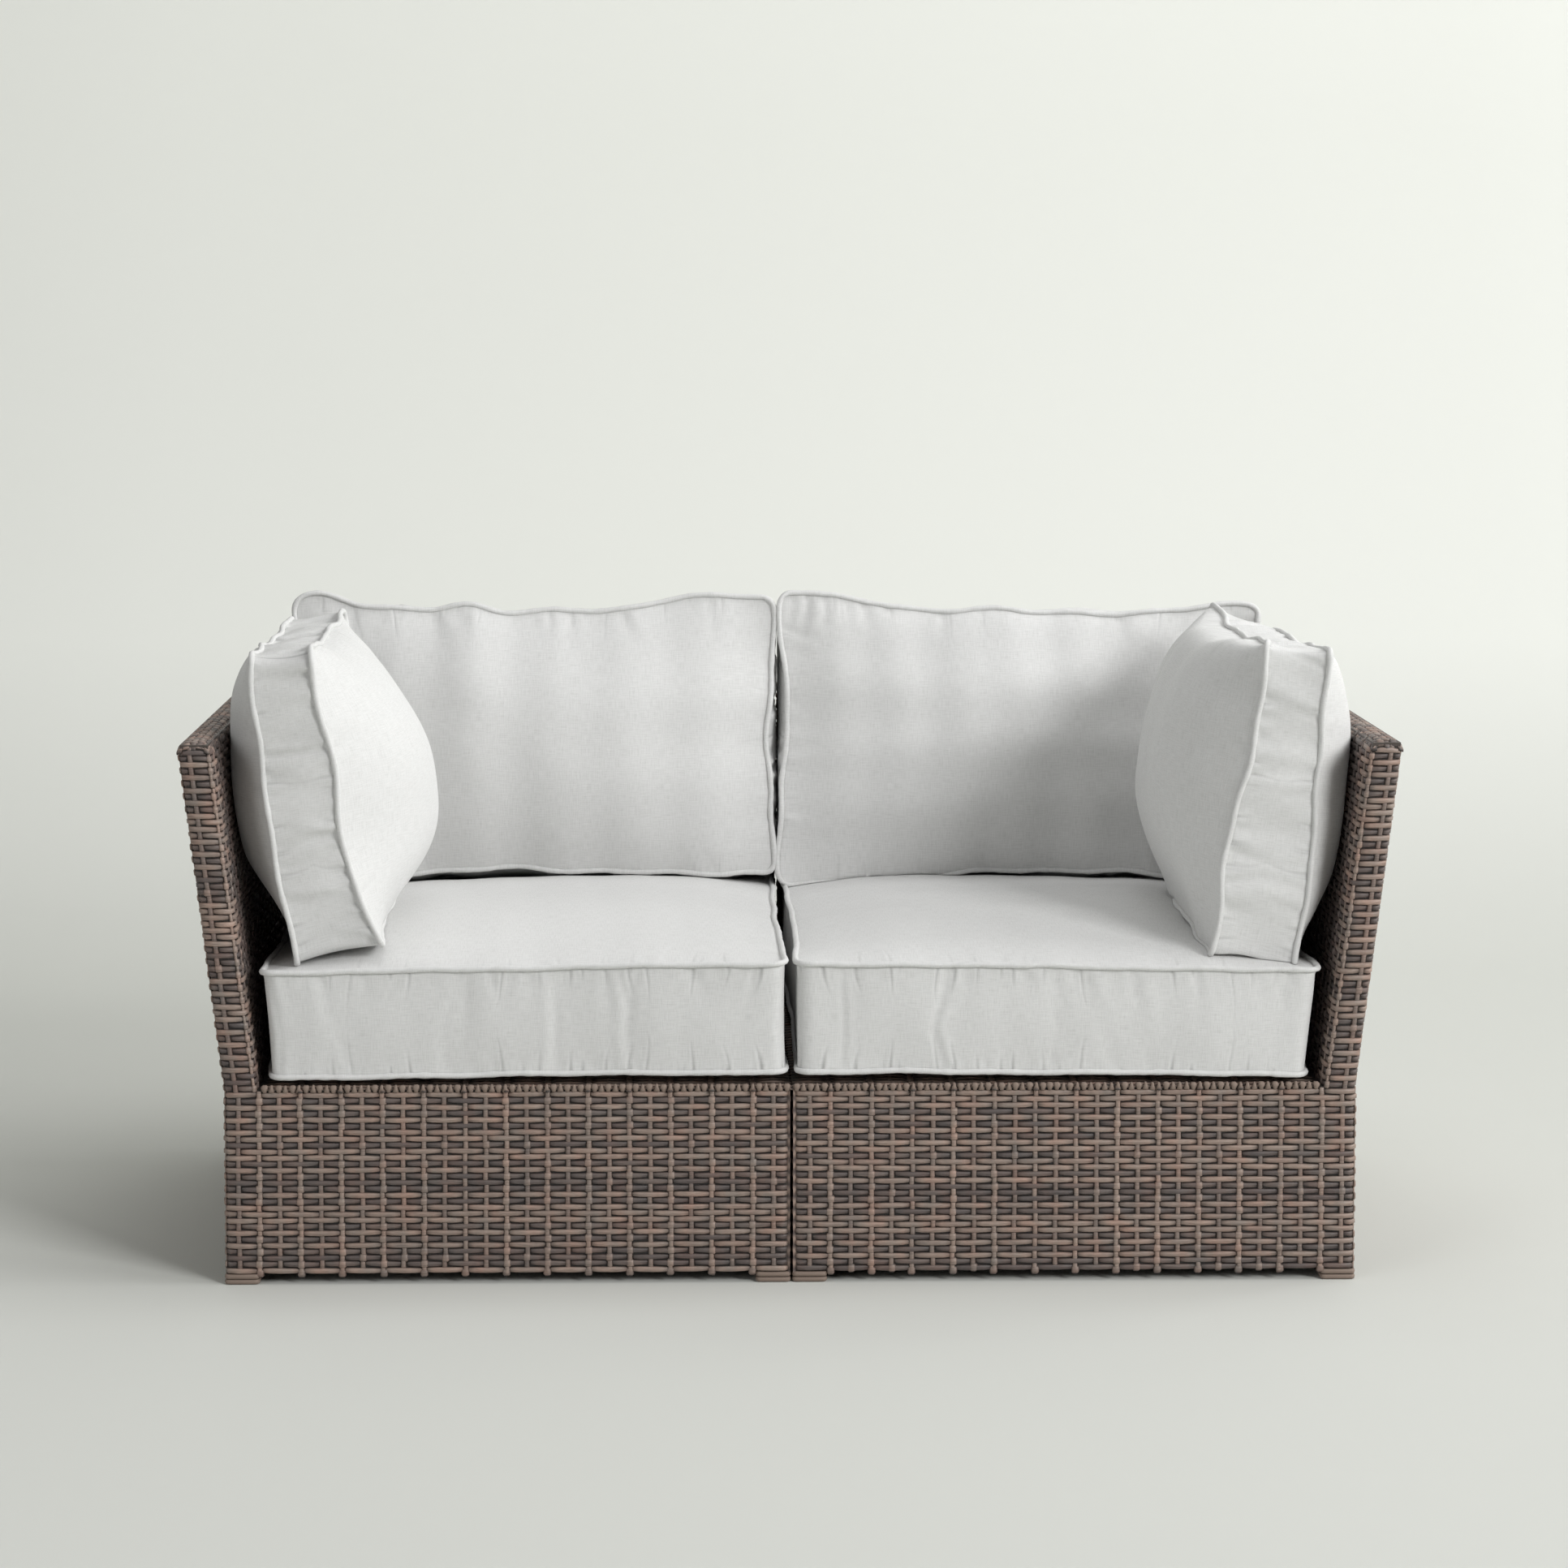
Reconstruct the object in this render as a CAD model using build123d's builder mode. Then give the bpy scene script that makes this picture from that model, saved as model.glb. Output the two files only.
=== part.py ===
"""Patio loveseat made of two woven corner modules.

Each module is a square base box with an arm panel and a back panel that lean
outwards and meet in a mitre at the rear outer corner. A welded frame of square
tube carries woven skins, and three loose cushions lie in each module: a seat
cushion, a back cushion and a side cushion. Two clips hold the modules together.

X runs across the front, Y from front to rear and Z up. The origin lies on the
ground under the middle of the whole seat.
"""

import os
from dataclasses import dataclass

from build123d import *

# Overall sizes of a module, in millimetres
module_side = 711
module_gap = 4
deck_height = 250
panel_height = 687
panel_overhang = 55

# Square tube frame
tube_size = 35
tube_wall = 1.6
slat_width = 25
slat_height = 12
slat_wall = 1.2
slat_count = 5

# Woven skins, the wrap around each foot and the plastic glides
skin_thickness = 3.5
skin_foot = 12
wrap_thickness = 1.8
glide_flange = 3
glide_chamfer = 1
glide_plug_length = 15
glide_plug_clearance = 0.2

# Clips that straddle the lower rails of both modules from below
clip_length = 30
clip_thickness = 3
clip_arm_share = 0.7
clip_clearance = 0.3
clip_place_share = 0.22
clip_edge = 1

# Cushions: what all of them share
rest_gap = 0.3
cover_thickness = 2
core_clearance = 0.3
seam_overrun = 4

# Seat cushion
seat_clearance = 5
seat_boxing = 140
seat_seam_height = 8
seat_crown = 25
seat_base_crown = 14
seat_draw = 7
seat_corner = 22

# Back cushion
back_width = 680
back_height = 393
back_boxing = 110
back_side_clearance = 4
back_seam_to_panel = 10
back_crown = 56
back_rear_crown = 30
back_draw = 11
back_corner = 20
back_sink = 3

# Side cushion
side_length = 500
side_height = 397
side_low_boxing = 110
side_high_boxing = 74
side_front_setback = 27
side_seam_to_panel = 61
side_crown = 96
side_outer_crown = 72
side_draw = 13
side_corner = 18
side_sink = 4

# Where along a cushion its crown is measured, and how full it is there
crown_place_shares = (-1, -0.8, -0.45, 0, 0.45, 0.8, 1)
crown_rise_shares = (0.08, 0.52, 0.86, 1, 0.86, 0.52, 0.08)

# Places that follow from the sizes
panel_wall = tube_size + 2 * skin_thickness
base_top = deck_height - skin_thickness
front_y = -(module_side + panel_overhang) / 2
rear_y = front_y + module_side
inner_x = module_gap / 2
outer_x = inner_x + module_side
tube_inset = skin_thickness + tube_size / 2
post_reach = skin_thickness + tube_size
rail_top = panel_height - skin_thickness
rail_foot = rail_top - tube_size
lower_rail_foot = skin_foot + skin_thickness
deck_rail_foot = base_top - tube_size
seat_side = module_side - panel_wall - 2 * seat_clearance

# The right module mirrors itself across its own diagonal, and the left module mirrors the right one
diagonal = Plane(origin=(inner_x, front_y, 0), x_dir=(1, 1, 0), z_dir=(1, -1, 0))
middle = Plane.YZ


def lean_at(height):
    """How far the panels have moved outwards at a height above the ground."""
    return panel_overhang * (height - base_top) / (panel_height - base_top)


def write(piece, node):
    """Label a finished piece and write it under its own name."""
    piece.part.label = node
    export_step(piece.part, f"parts/{node}.step")


def write_pair(piece, name):
    """Write a piece of the right module and its mirror image on the left."""
    with BuildPart() as left_piece:
        mirror(piece.part, about=middle)
    write(piece, f"right_{name}")
    write(left_piece, f"left_{name}")


def across_diagonal(piece):
    """The twin of a piece on the other side of the module's diagonal."""
    with BuildPart() as twin:
        mirror(piece.part, about=diagonal)
    return twin


def square_tube(run, start, length, size, wall):
    """A hollow square tube along X, centred on a point of its starting plane."""
    with BuildPart() as tube:
        with BuildSketch(Plane.YZ.offset(start)):
            with Locations(run):
                Rectangle(size, size)
                Rectangle(size - 2 * wall, size - 2 * wall, mode=Mode.SUBTRACT)
        extrude(amount=length)
    return tube


def leaning_square(centre, size, low, high, lean):
    """A square bar whose sections shift with the lean of its panels."""
    with BuildPart() as bar:
        for height in (low, high):
            shift = lean_at(height)
            with BuildSketch(Plane.XY.offset(height)):
                with Locations((centre[0] + lean[0] * shift, centre[1] + lean[1] * shift)):
                    Rectangle(size, size)
        loft(ruled=True)
    return bar.part


def post(centre, lean, top):
    """A tube post: upright inside the base, then leaning with its panels."""
    bore = tube_size - 2 * tube_wall
    with BuildPart() as upright:
        with BuildSketch(Plane.XY.offset(glide_flange)):
            with Locations(centre):
                Rectangle(tube_size, tube_size)
                Rectangle(bore, bore, mode=Mode.SUBTRACT)
        extrude(amount=base_top - glide_flange)
        if top > base_top:
            add(leaning_square(centre, tube_size, base_top, top, lean))
            add(leaning_square(centre, bore, base_top, top, lean), mode=Mode.SUBTRACT)
    return upright


def panel_outline(height, inset):
    """The arm panel's level section, mitred at the rear and moved inwards by the inset."""
    outside = outer_x + lean_at(height)
    corner = rear_y + lean_at(height)
    return [
        (outside - panel_wall + inset, front_y + inset),
        (outside - inset, front_y + inset),
        (outside - inset, corner - inset),
        (outside - panel_wall + inset, corner - panel_wall + inset),
    ]


def panel_block(low, high, inset):
    """The arm panel between two heights, as one block."""
    with BuildPart() as block:
        for height in (low, high):
            with BuildSketch(Plane.XY.offset(height)):
                Polygon(*panel_outline(height, inset), align=None)
        loft(ruled=True)
    return block.part


def base_skin(start, end, inward):
    """One woven wall of the base, mitred at both ends, from corner to corner."""
    along = (end - start).normalized() * skin_thickness
    inner = inward * skin_thickness
    with BuildPart() as skin:
        with BuildSketch(Plane.XY.offset(skin_foot)):
            Polygon(start, end, end - along + inner, start + along + inner, align=None)
        extrude(amount=base_top - skin_foot)
    return skin


os.makedirs("parts", exist_ok=True)

# Frame of a module
corner_post = (outer_x - tube_inset, rear_y - tube_inset)
front_post = (outer_x - tube_inset, front_y + tube_inset)
inner_leg = (inner_x + tube_inset, front_y + tube_inset)
back_post = (inner_x + tube_inset, rear_y - tube_inset)

front_outer_post = post(front_post, (1, 0), rail_foot)
write_pair(front_outer_post, "front_outer_post")
write_pair(across_diagonal(front_outer_post), "rear_inner_post")
write_pair(post(corner_post, (1, 1), rail_foot), "rear_outer_post")
write_pair(post(inner_leg, (0, 0), base_top), "front_inner_leg")

rail_start = inner_x + post_reach
rail_length = module_side - 2 * post_reach
rail_rows = {"front": front_y + tube_inset, "rear": rear_y - tube_inset}
rail_levels = {
    "lower_rail": lower_rail_foot + tube_size / 2,
    "deck_rail": deck_rail_foot + tube_size / 2,
}
twin_rows = {"front": "inner", "rear": "outer"}
for row, rail_y in rail_rows.items():
    for level, rail_z in rail_levels.items():
        rail = square_tube((rail_y, rail_z), rail_start, rail_length, tube_size, tube_wall)
        write_pair(rail, f"{row}_{level}")
        write_pair(across_diagonal(rail), f"{twin_rows[row]}_{level}")

with BuildPart() as arm_top_rail:
    add(panel_block(rail_foot, rail_top, skin_thickness))
    bore_foot = rail_foot + tube_wall
    bore_top = rail_top - tube_wall
    add(panel_block(bore_foot, bore_top, skin_thickness + tube_wall), mode=Mode.SUBTRACT)
write_pair(arm_top_rail, "arm_top_rail")
write_pair(across_diagonal(arm_top_rail), "back_top_rail")

# Slats that carry the woven deck between the front and rear deck rails
slat_pitch = rail_length / (slat_count + 1)
with BuildPart() as deck_slats:
    slat_places = [
        (rail_start + slat_pitch * (number + 1), base_top - slat_height / 2)
        for number in range(slat_count)
    ]
    with BuildSketch(Plane.XZ.offset(-(rear_y - post_reach))):
        with Locations(*slat_places):
            Rectangle(slat_width, slat_height)
            Rectangle(
                slat_width - 2 * slat_wall, slat_height - 2 * slat_wall, mode=Mode.SUBTRACT
            )
    extrude(amount=rail_length)
write_pair(deck_slats, "deck_slats")

# Woven skins
front_left = Vector(inner_x, front_y)
front_right = Vector(outer_x, front_y)
rear_right = Vector(outer_x, rear_y)
front_weave = base_skin(front_left, front_right, Vector(0, 1))
outer_weave = base_skin(front_right, rear_right, Vector(-1, 0))
write_pair(front_weave, "base_front_weave")
write_pair(across_diagonal(front_weave), "base_inner_weave")
write_pair(outer_weave, "base_outer_weave")
write_pair(across_diagonal(outer_weave), "base_rear_weave")

with BuildPart() as arm_weave:
    add(panel_block(base_top, panel_height, 0))
    add(panel_block(base_top, rail_top, skin_thickness), mode=Mode.SUBTRACT)
write_pair(arm_weave, "arm_weave")
write_pair(across_diagonal(arm_weave), "back_weave")

with BuildPart() as deck_weave:
    deck_corner = (outer_x - panel_wall, rear_y - panel_wall)
    with BuildSketch(Plane.XY.offset(base_top)):
        Polygon(
            (inner_x, front_y),
            (deck_corner[0], front_y),
            deck_corner,
            (inner_x, deck_corner[1]),
            align=None,
        )
    extrude(amount=skin_thickness)
write_pair(deck_weave, "deck_weave")

# Feet: a wrap of strand around each post and a glide pressed into its end
feet = [
    (side * foot[0], foot[1])
    for side in (-1, 1)
    for foot in (front_post, corner_post, inner_leg, back_post)
]
wrap_size = tube_size + 2 * wrap_thickness
with BuildPart() as leg_wraps:
    with BuildSketch(Plane.XY.offset(glide_flange)):
        with Locations(*feet):
            Rectangle(wrap_size, wrap_size)
            Rectangle(tube_size, tube_size, mode=Mode.SUBTRACT)
    extrude(amount=skin_foot - glide_flange)
write(leg_wraps, "leg_wraps")

glide_plug = tube_size - 2 * tube_wall - 2 * glide_plug_clearance
with BuildPart() as glides:
    with BuildSketch():
        with Locations(*feet):
            Rectangle(tube_size, tube_size)
    extrude(amount=glide_flange)
    chamfer(glides.edges().group_by(Axis.Z)[0], glide_chamfer)
    with BuildSketch(Plane.XY.offset(glide_flange)):
        with Locations(*feet):
            Rectangle(glide_plug, glide_plug)
    extrude(amount=glide_plug_length)
write(glides, "glides")

# Clips: a channel whose arms stand outside the inner lower rails of both modules
clip_half = inner_x + post_reach + clip_clearance + clip_thickness
clip_web_top = skin_foot - clip_clearance
clip_foot = clip_web_top - clip_thickness
clip_top = lower_rail_foot + tube_size * clip_arm_share
clip_run = rail_length * clip_place_share
clip_places = {
    "front_clip": front_y + post_reach + clip_run,
    "rear_clip": rear_y - post_reach - clip_run,
}
for clip_name, clip_y in clip_places.items():
    with BuildPart() as clip:
        with BuildSketch(Plane.XZ.offset(-(clip_y + clip_length / 2))):
            with BuildLine():
                Polyline(
                    (-clip_half, clip_foot),
                    (clip_half, clip_foot),
                    (clip_half, clip_top),
                    (clip_half - clip_thickness, clip_top),
                    (clip_half - clip_thickness, clip_web_top),
                    (clip_thickness - clip_half, clip_web_top),
                    (clip_thickness - clip_half, clip_top),
                    (-clip_half, clip_top),
                    close=True,
                )
            make_face()
        extrude(amount=clip_length)
        runs = clip.edges().filter_by(Axis.Y)
        chamfer(runs.group_by(Axis.Z)[0] + runs.group_by(Axis.Z)[-1], clip_edge)
    write(clip, clip_name)


@dataclass
class Cushion:
    """A box cushion with two piped seams, measured in its own plane.

    The plane's X runs along the cushion's width, its Y along the height and its
    Z from the rear seam to the front one. The plane's origin is the middle of
    the rear seam.
    """

    place: Plane
    width: float
    height: float
    low_boxing: float
    high_boxing: float
    crown: float
    rear_crown: float
    rear_reach: float
    draw: float
    corner: float


def crown_section(cushion, place_share, rise_share, inset):
    """One section across the cushion: two crowned faces between the seams."""
    reach = cushion.width / 2 + seam_overrun
    edge = cushion.height / 2 + seam_overrun
    station = Plane(
        origin=cushion.place.origin + cushion.place.x_dir * (reach * place_share),
        x_dir=cushion.place.y_dir,
        z_dir=cushion.place.x_dir,
    )
    low_seam = cushion.low_boxing - inset
    high_seam = cushion.high_boxing - inset
    front_middle = (low_seam + high_seam) / 2 + cushion.crown * rise_share
    with BuildSketch(station) as section:
        with BuildLine():
            ThreePointArc(
                (-edge, inset), (0, inset - cushion.rear_crown * rise_share), (edge, inset)
            )
            Line((edge, inset), (edge, high_seam))
            ThreePointArc((edge, high_seam), (0, front_middle), (-edge, low_seam))
            Line((-edge, low_seam), (-edge, inset))
        make_face()
    return section.sketch


def pillow_outline(cushion, inset, depth_behind):
    """The cushion seen along its thickness, its four sides drawn in between the corners."""
    half_width = cushion.width / 2 - inset
    half_height = cushion.height / 2 - inset
    corners = [
        (-half_width, -half_height),
        (half_width, -half_height),
        (half_width, half_height),
        (-half_width, half_height),
    ]
    middles = [
        (cushion.draw - half_width, 0),
        (0, cushion.draw - half_height),
        (half_width - cushion.draw, 0),
        (0, half_height - cushion.draw),
    ]
    with BuildSketch(cushion.place.offset(-depth_behind)) as outline:
        with BuildLine():
            for number, side_middle in enumerate(middles):
                ThreePointArc(corners[number - 1], side_middle, corners[number])
        make_face()
        fillet(outline.vertices(), cushion.corner)
    return outline.sketch


def cushion_body(cushion, inset, under=None):
    """A cushion's closed form, its faces moved inwards by the inset.

    The rear is flat where it rests on its panel or deck. A cushion that stands
    on another one is hollowed by what lies under it.
    """
    depth_behind = cushion.rear_crown + seam_overrun
    depth = depth_behind + cushion.low_boxing + cushion.crown + seam_overrun
    sections = [
        crown_section(cushion, place_share, rise_share, inset)
        for place_share, rise_share in zip(crown_place_shares, crown_rise_shares)
    ]
    with BuildPart() as body:
        loft(sections)
        extrude(pillow_outline(cushion, inset, depth_behind), amount=depth, mode=Mode.INTERSECT)
        split(bisect_by=cushion.place.offset(inset - cushion.rear_reach), keep=Keep.TOP)
        if under is not None:
            with Locations((0, 0, rest_gap + inset)):
                add(under, mode=Mode.SUBTRACT)
    return body.part


def write_cushion(cushion, name, under=None):
    """Write a cushion's sewn cover and the filling inside it."""
    with BuildPart() as cover:
        add(cushion_body(cushion, 0, under))
        add(cushion_body(cushion, cover_thickness, under), mode=Mode.SUBTRACT)
    with BuildPart() as core:
        add(cushion_body(cushion, cover_thickness + core_clearance, under))
    write_pair(cover, f"{name}_cover")
    write_pair(core, f"{name}_core")


# The panels' lean, as directions of the back and the arm
rise = panel_height - base_top
back_up = Vector(0, panel_overhang, rise).normalized()
back_front = Vector(0, -rise, panel_overhang).normalized()
arm_up = Vector(panel_overhang, 0, rise).normalized()
arm_front = Vector(-rise, 0, panel_overhang).normalized()
seat_middle = Vector(inner_x + seat_clearance, front_y + seat_clearance) + Vector(
    seat_side / 2, seat_side / 2
)
seat_seam_foot = deck_height + rest_gap + seat_seam_height
seat_seam_top = seat_seam_foot + seat_boxing

seat_cushion = Cushion(
    place=Plane(origin=seat_middle + Vector(0, 0, seat_seam_foot)),
    width=seat_side,
    height=seat_side,
    low_boxing=seat_boxing,
    high_boxing=seat_boxing,
    crown=seat_crown,
    rear_crown=seat_base_crown,
    rear_reach=seat_seam_height,
    draw=seat_draw,
    corner=seat_corner,
)
seat_body = cushion_body(seat_cushion, 0)
write_cushion(seat_cushion, "seat_cushion")

# The back cushion stands on the seat cushion and lies flat against the back panel
back_foot = Vector(
    inner_x + back_side_clearance + back_width / 2, rear_y - panel_wall, base_top
)
back_climb = (seat_seam_top - back_sink - base_top) / back_up.Z + back_height / 2
back_cushion = Cushion(
    place=Plane(
        origin=back_foot + back_up * back_climb + back_front * back_seam_to_panel,
        x_dir=(1, 0, 0),
        z_dir=back_front,
    ),
    width=back_width,
    height=back_height,
    low_boxing=back_boxing,
    high_boxing=back_boxing,
    crown=back_crown,
    rear_crown=back_rear_crown,
    rear_reach=back_seam_to_panel - rest_gap,
    draw=back_draw,
    corner=back_corner,
)
write_cushion(back_cushion, "back_cushion", under=seat_body)

# The side cushion stands on the seat cushion in front of the back one and leans on the arm
side_foot = Vector(
    outer_x - panel_wall, front_y + side_front_setback + side_length / 2, base_top
)
side_climb = (seat_seam_top - side_sink - base_top) / arm_up.Z + side_height / 2
side_cushion = Cushion(
    place=Plane(
        origin=side_foot + arm_up * side_climb + arm_front * side_seam_to_panel,
        x_dir=(0, -1, 0),
        z_dir=arm_front,
    ),
    width=side_length,
    height=side_height,
    low_boxing=side_low_boxing,
    high_boxing=side_high_boxing,
    crown=side_crown,
    rear_crown=side_outer_crown,
    rear_reach=side_seam_to_panel - rest_gap,
    draw=side_draw,
    corner=side_corner,
)
write_cushion(side_cushion, "side_cushion", under=seat_body)
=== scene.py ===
"""Looks of a woven patio loveseat with piped cushions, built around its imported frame."""

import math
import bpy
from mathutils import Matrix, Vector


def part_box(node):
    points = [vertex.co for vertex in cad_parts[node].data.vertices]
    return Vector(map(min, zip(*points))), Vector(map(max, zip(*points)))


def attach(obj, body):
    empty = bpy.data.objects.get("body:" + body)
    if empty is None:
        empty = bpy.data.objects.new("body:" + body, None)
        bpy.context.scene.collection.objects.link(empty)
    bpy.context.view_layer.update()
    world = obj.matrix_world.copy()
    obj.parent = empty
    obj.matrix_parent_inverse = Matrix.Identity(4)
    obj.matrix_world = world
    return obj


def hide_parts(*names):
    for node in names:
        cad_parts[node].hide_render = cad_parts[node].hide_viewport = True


bl_info = {
    "name": "Woven Loveseat",
    "version": (1, 0, 0),
    "blender": (4, 5, 0),
    "location": "View3D > Sidebar > Loveseat",
    "description": "Weaves the strand skins and sews the cushions of a two-module patio loveseat",
    "category": "Object",
}

from dataclasses import dataclass, replace
from itertools import product

import bmesh
import bpy
import numpy as np
from bpy.props import FloatProperty, FloatVectorProperty, IntProperty, PointerProperty
from mathutils import Vector
from mathutils.bvhtree import BVHTree

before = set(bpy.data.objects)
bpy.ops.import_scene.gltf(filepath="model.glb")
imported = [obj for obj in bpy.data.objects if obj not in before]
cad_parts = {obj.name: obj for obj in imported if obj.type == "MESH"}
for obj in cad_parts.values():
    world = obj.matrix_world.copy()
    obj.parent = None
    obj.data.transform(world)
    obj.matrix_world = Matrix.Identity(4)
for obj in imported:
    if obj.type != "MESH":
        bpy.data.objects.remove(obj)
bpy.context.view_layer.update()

# Places read from the frame, in metres, for the right-hand module
FRONT_LOW, FRONT_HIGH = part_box("right_base_front_weave")
ARM_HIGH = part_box("right_arm_weave")[1]
DECK_LOW, DECK_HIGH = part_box("right_deck_weave")
POST_LOW, POST_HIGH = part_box("right_front_inner_leg")
INNER_X = FRONT_LOW.x
OUTER_X = FRONT_HIGH.x
FRONT_Y = FRONT_LOW.y
SIDE = OUTER_X - INNER_X
REAR_Y = FRONT_Y + SIDE
WALL = OUTER_X - DECK_HIGH.x
BASE_FOOT = FRONT_LOW.z
BASE_TOP = FRONT_HIGH.z
DECK_TOP = DECK_HIGH.z
PANEL_TOP = ARM_HIGH.z
OVERHANG = ARM_HIGH.x - OUTER_X
SKIN = DECK_HIGH.z - DECK_LOW.z
LEAN = math.atan2(OVERHANG, PANEL_TOP - BASE_TOP)
TUBE = POST_HIGH.x - POST_LOW.x
SIDES = (("right", 1), ("left", -1))

# Directions of the leaning panels, and how far each cushion's rear stays off the strands
BACK_UP = Vector((0, math.sin(LEAN), math.cos(LEAN)))
BACK_FRONT = Vector((0, -math.cos(LEAN), math.sin(LEAN)))
ARM_UP = Vector((math.sin(LEAN), 0, math.cos(LEAN)))
ARM_FRONT = Vector((-math.cos(LEAN), 0, math.sin(LEAN)))
STRAND_ROOM = 0.0026

# Which rows of the base are light (L) and dark (D), from the deck down
ROW_RHYTHM = "LDLDLDLLDLLDLDDDLDLLLDLDLDDDL"

# Counts of the weave, and how far its columns are shifted along, in columns
BASE_ROWS = len(ROW_RHYTHM)
PANEL_ROWS = 55
TOP_ROWS = 5
COLUMNS_PER_SIDE = 27.5
BASE_PHASE = 0.81
PANEL_PHASE = 0.94

# Rounding of the upright corners and of the panels' tops, and the ends of the base's rows
CORNER_RADIUS = 0.009
TOP_ROLL = 0.016
ROW_FOOT = BASE_FOOT + 0.0015
ROW_END = DECK_TOP - 0.0045

# Kinds of strand pieces
BAR, STAKE, KNOT, BEAD = 0, 1, 2, 3

# Tones of strand from 0, dark, to 1, light, of rows and of even and odd stakes. In a column
# given for painted shade a strand keeps a share of its tone
DARK_ROW = (0.0, 0.16)
LIGHT_ROW = (0.72, 0.95)
STAKE_TONES = ((0.30, 0.62), (0.66, 0.95))
PAINTED_SHADE_SHARE = 0.20

# Chances of a stake without knots, and of a knot where a dark row passes an even or odd stake
PLAIN_CHANCE = 0.12
KNOT_CHANCES = (0.45, 0.93)

# The dark bands of painted shade behind the strands: how deep their two faces lie, and the length
# of a facet
BACKING_DEPTHS = (-0.0026, -0.0034)
BACKING_STEP = 0.006

# Where those bands lie on the bake map, from its foot, above the strands' own places
BACKING_SHELF = 0.78
LID_SHELF = 0.89

# Places of a woven sheet on the bake map. A pair is for the first and the second shelf
SHEET_HEIGHT = 0.32
SHELF_LIFT = 0.67
UPRIGHT_LIFTS = (0.33, 0.06)
REAR_LIFTS = (0.82, 0.72)
REAR_SCALE = 0.15

# On the seam map, runs on the faces start past this one, and the piping lies beyond the reach
FACE_RUN = 3.0
SEAM_REACH = 0.15
PIPING_AWAY = 0.2

# Pitch of a wave texture of scale 1
WAVE_PITCH = math.pi / 10

# Heights for settling a cushion on the seat cushion: its points under the first are looked at
# from the second down, and a seat that is found counts above the third
SETTLE_BELOW = 0.47
LOOK_FROM = 0.60
SEAT_EDGE = 0.33


@dataclass
class Pad:
    """A box cushion for the right-hand module, in its own plane.

    The plane's origin is the middle of the rear seam. Across, up and front are its directions.
    Draw is how far a side is drawn in between two corners. Bow is how far a seam's middle
    stands behind its ends, and arch is how far the boxing is drawn in at a corner. A seam may
    stand off its place by its rise, and tilt more at the end where across begins. Meet is how
    far the boxing at that end swells past the seams' ends, against the neighbour. Evenness
    and the fills, for the low and the high half, say how squarely a face is filled, and skew
    how much fuller the front face is at its top than in its middle.
    """

    name: str
    origin: Vector
    across: Vector
    up: Vector
    front: Vector
    width: float
    height: float
    low_boxing: float
    high_boxing: float
    crown: float
    rear_crown: float
    rear_reach: float
    draw: float
    corner: float
    bulge: float
    bow: float
    arch: float
    pucker: float
    front_rise: float = 0.0
    front_tilt: float = 0.0
    rear_rise: float = 0.0
    rear_tilt: float = 0.0
    meet: float = 0.0
    evenness: float = 2.4
    skew: float = 0.0
    front_fill: tuple = (0.94, 0.94)
    rear_fill: tuple = (0.94, 0.94)


@dataclass
class Nudge:
    """A seam pulled out of line round one place, as filling and handling leave it.

    The place is given as shares of the pad's half width and half height, and the shift along
    across, up and front.
    """

    seam: str
    place: tuple
    shift: tuple
    reach: float


PADS = (
    Pad(name="seat", origin=Vector((0.3365, -0.0485, 0.2583)), across=Vector((1, 0, 0)),
        up=Vector((0, 1, 0)), front=Vector((0, 0, 1)), width=0.659, height=0.659,
        low_boxing=0.140, high_boxing=0.140, crown=0.033, rear_crown=0.024, rear_reach=0.0075,
        draw=0.006, corner=0.022, bulge=0.0035, bow=0.0, arch=0.002, pucker=0.0012,
        front_rise=0.0010, front_tilt=0.0055, rear_rise=0.0080, rear_tilt=0.0030, evenness=3.6,
        front_fill=(0.62, 0.55)),
    Pad(name="back", origin=Vector((0.346, 0.3190, 0.5915)), across=Vector((1, 0, 0)),
        up=BACK_UP, front=BACK_FRONT, width=0.680, height=0.393, low_boxing=0.110,
        high_boxing=0.110, crown=0.056, rear_crown=0.030, rear_reach=0.0097 - STRAND_ROOM,
        draw=0.008, corner=0.020, bulge=0.0045, bow=0.003, arch=0.004, pucker=0.0030,
        meet=0.0054),
    Pad(name="side", origin=Vector((0.6535, -0.106, 0.5988)), across=Vector((0, -1, 0)),
        up=ARM_UP, front=ARM_FRONT, width=0.500, height=0.397, low_boxing=0.110,
        high_boxing=0.074, crown=0.099, rear_crown=0.076, rear_reach=0.0607 - STRAND_ROOM,
        draw=0.013, corner=0.018, bulge=0.0030, bow=0.006, arch=0.006, pucker=0.0030,
        front_fill=(0.92, 0.66), rear_fill=(2.2, 0.62)),
)

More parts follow.
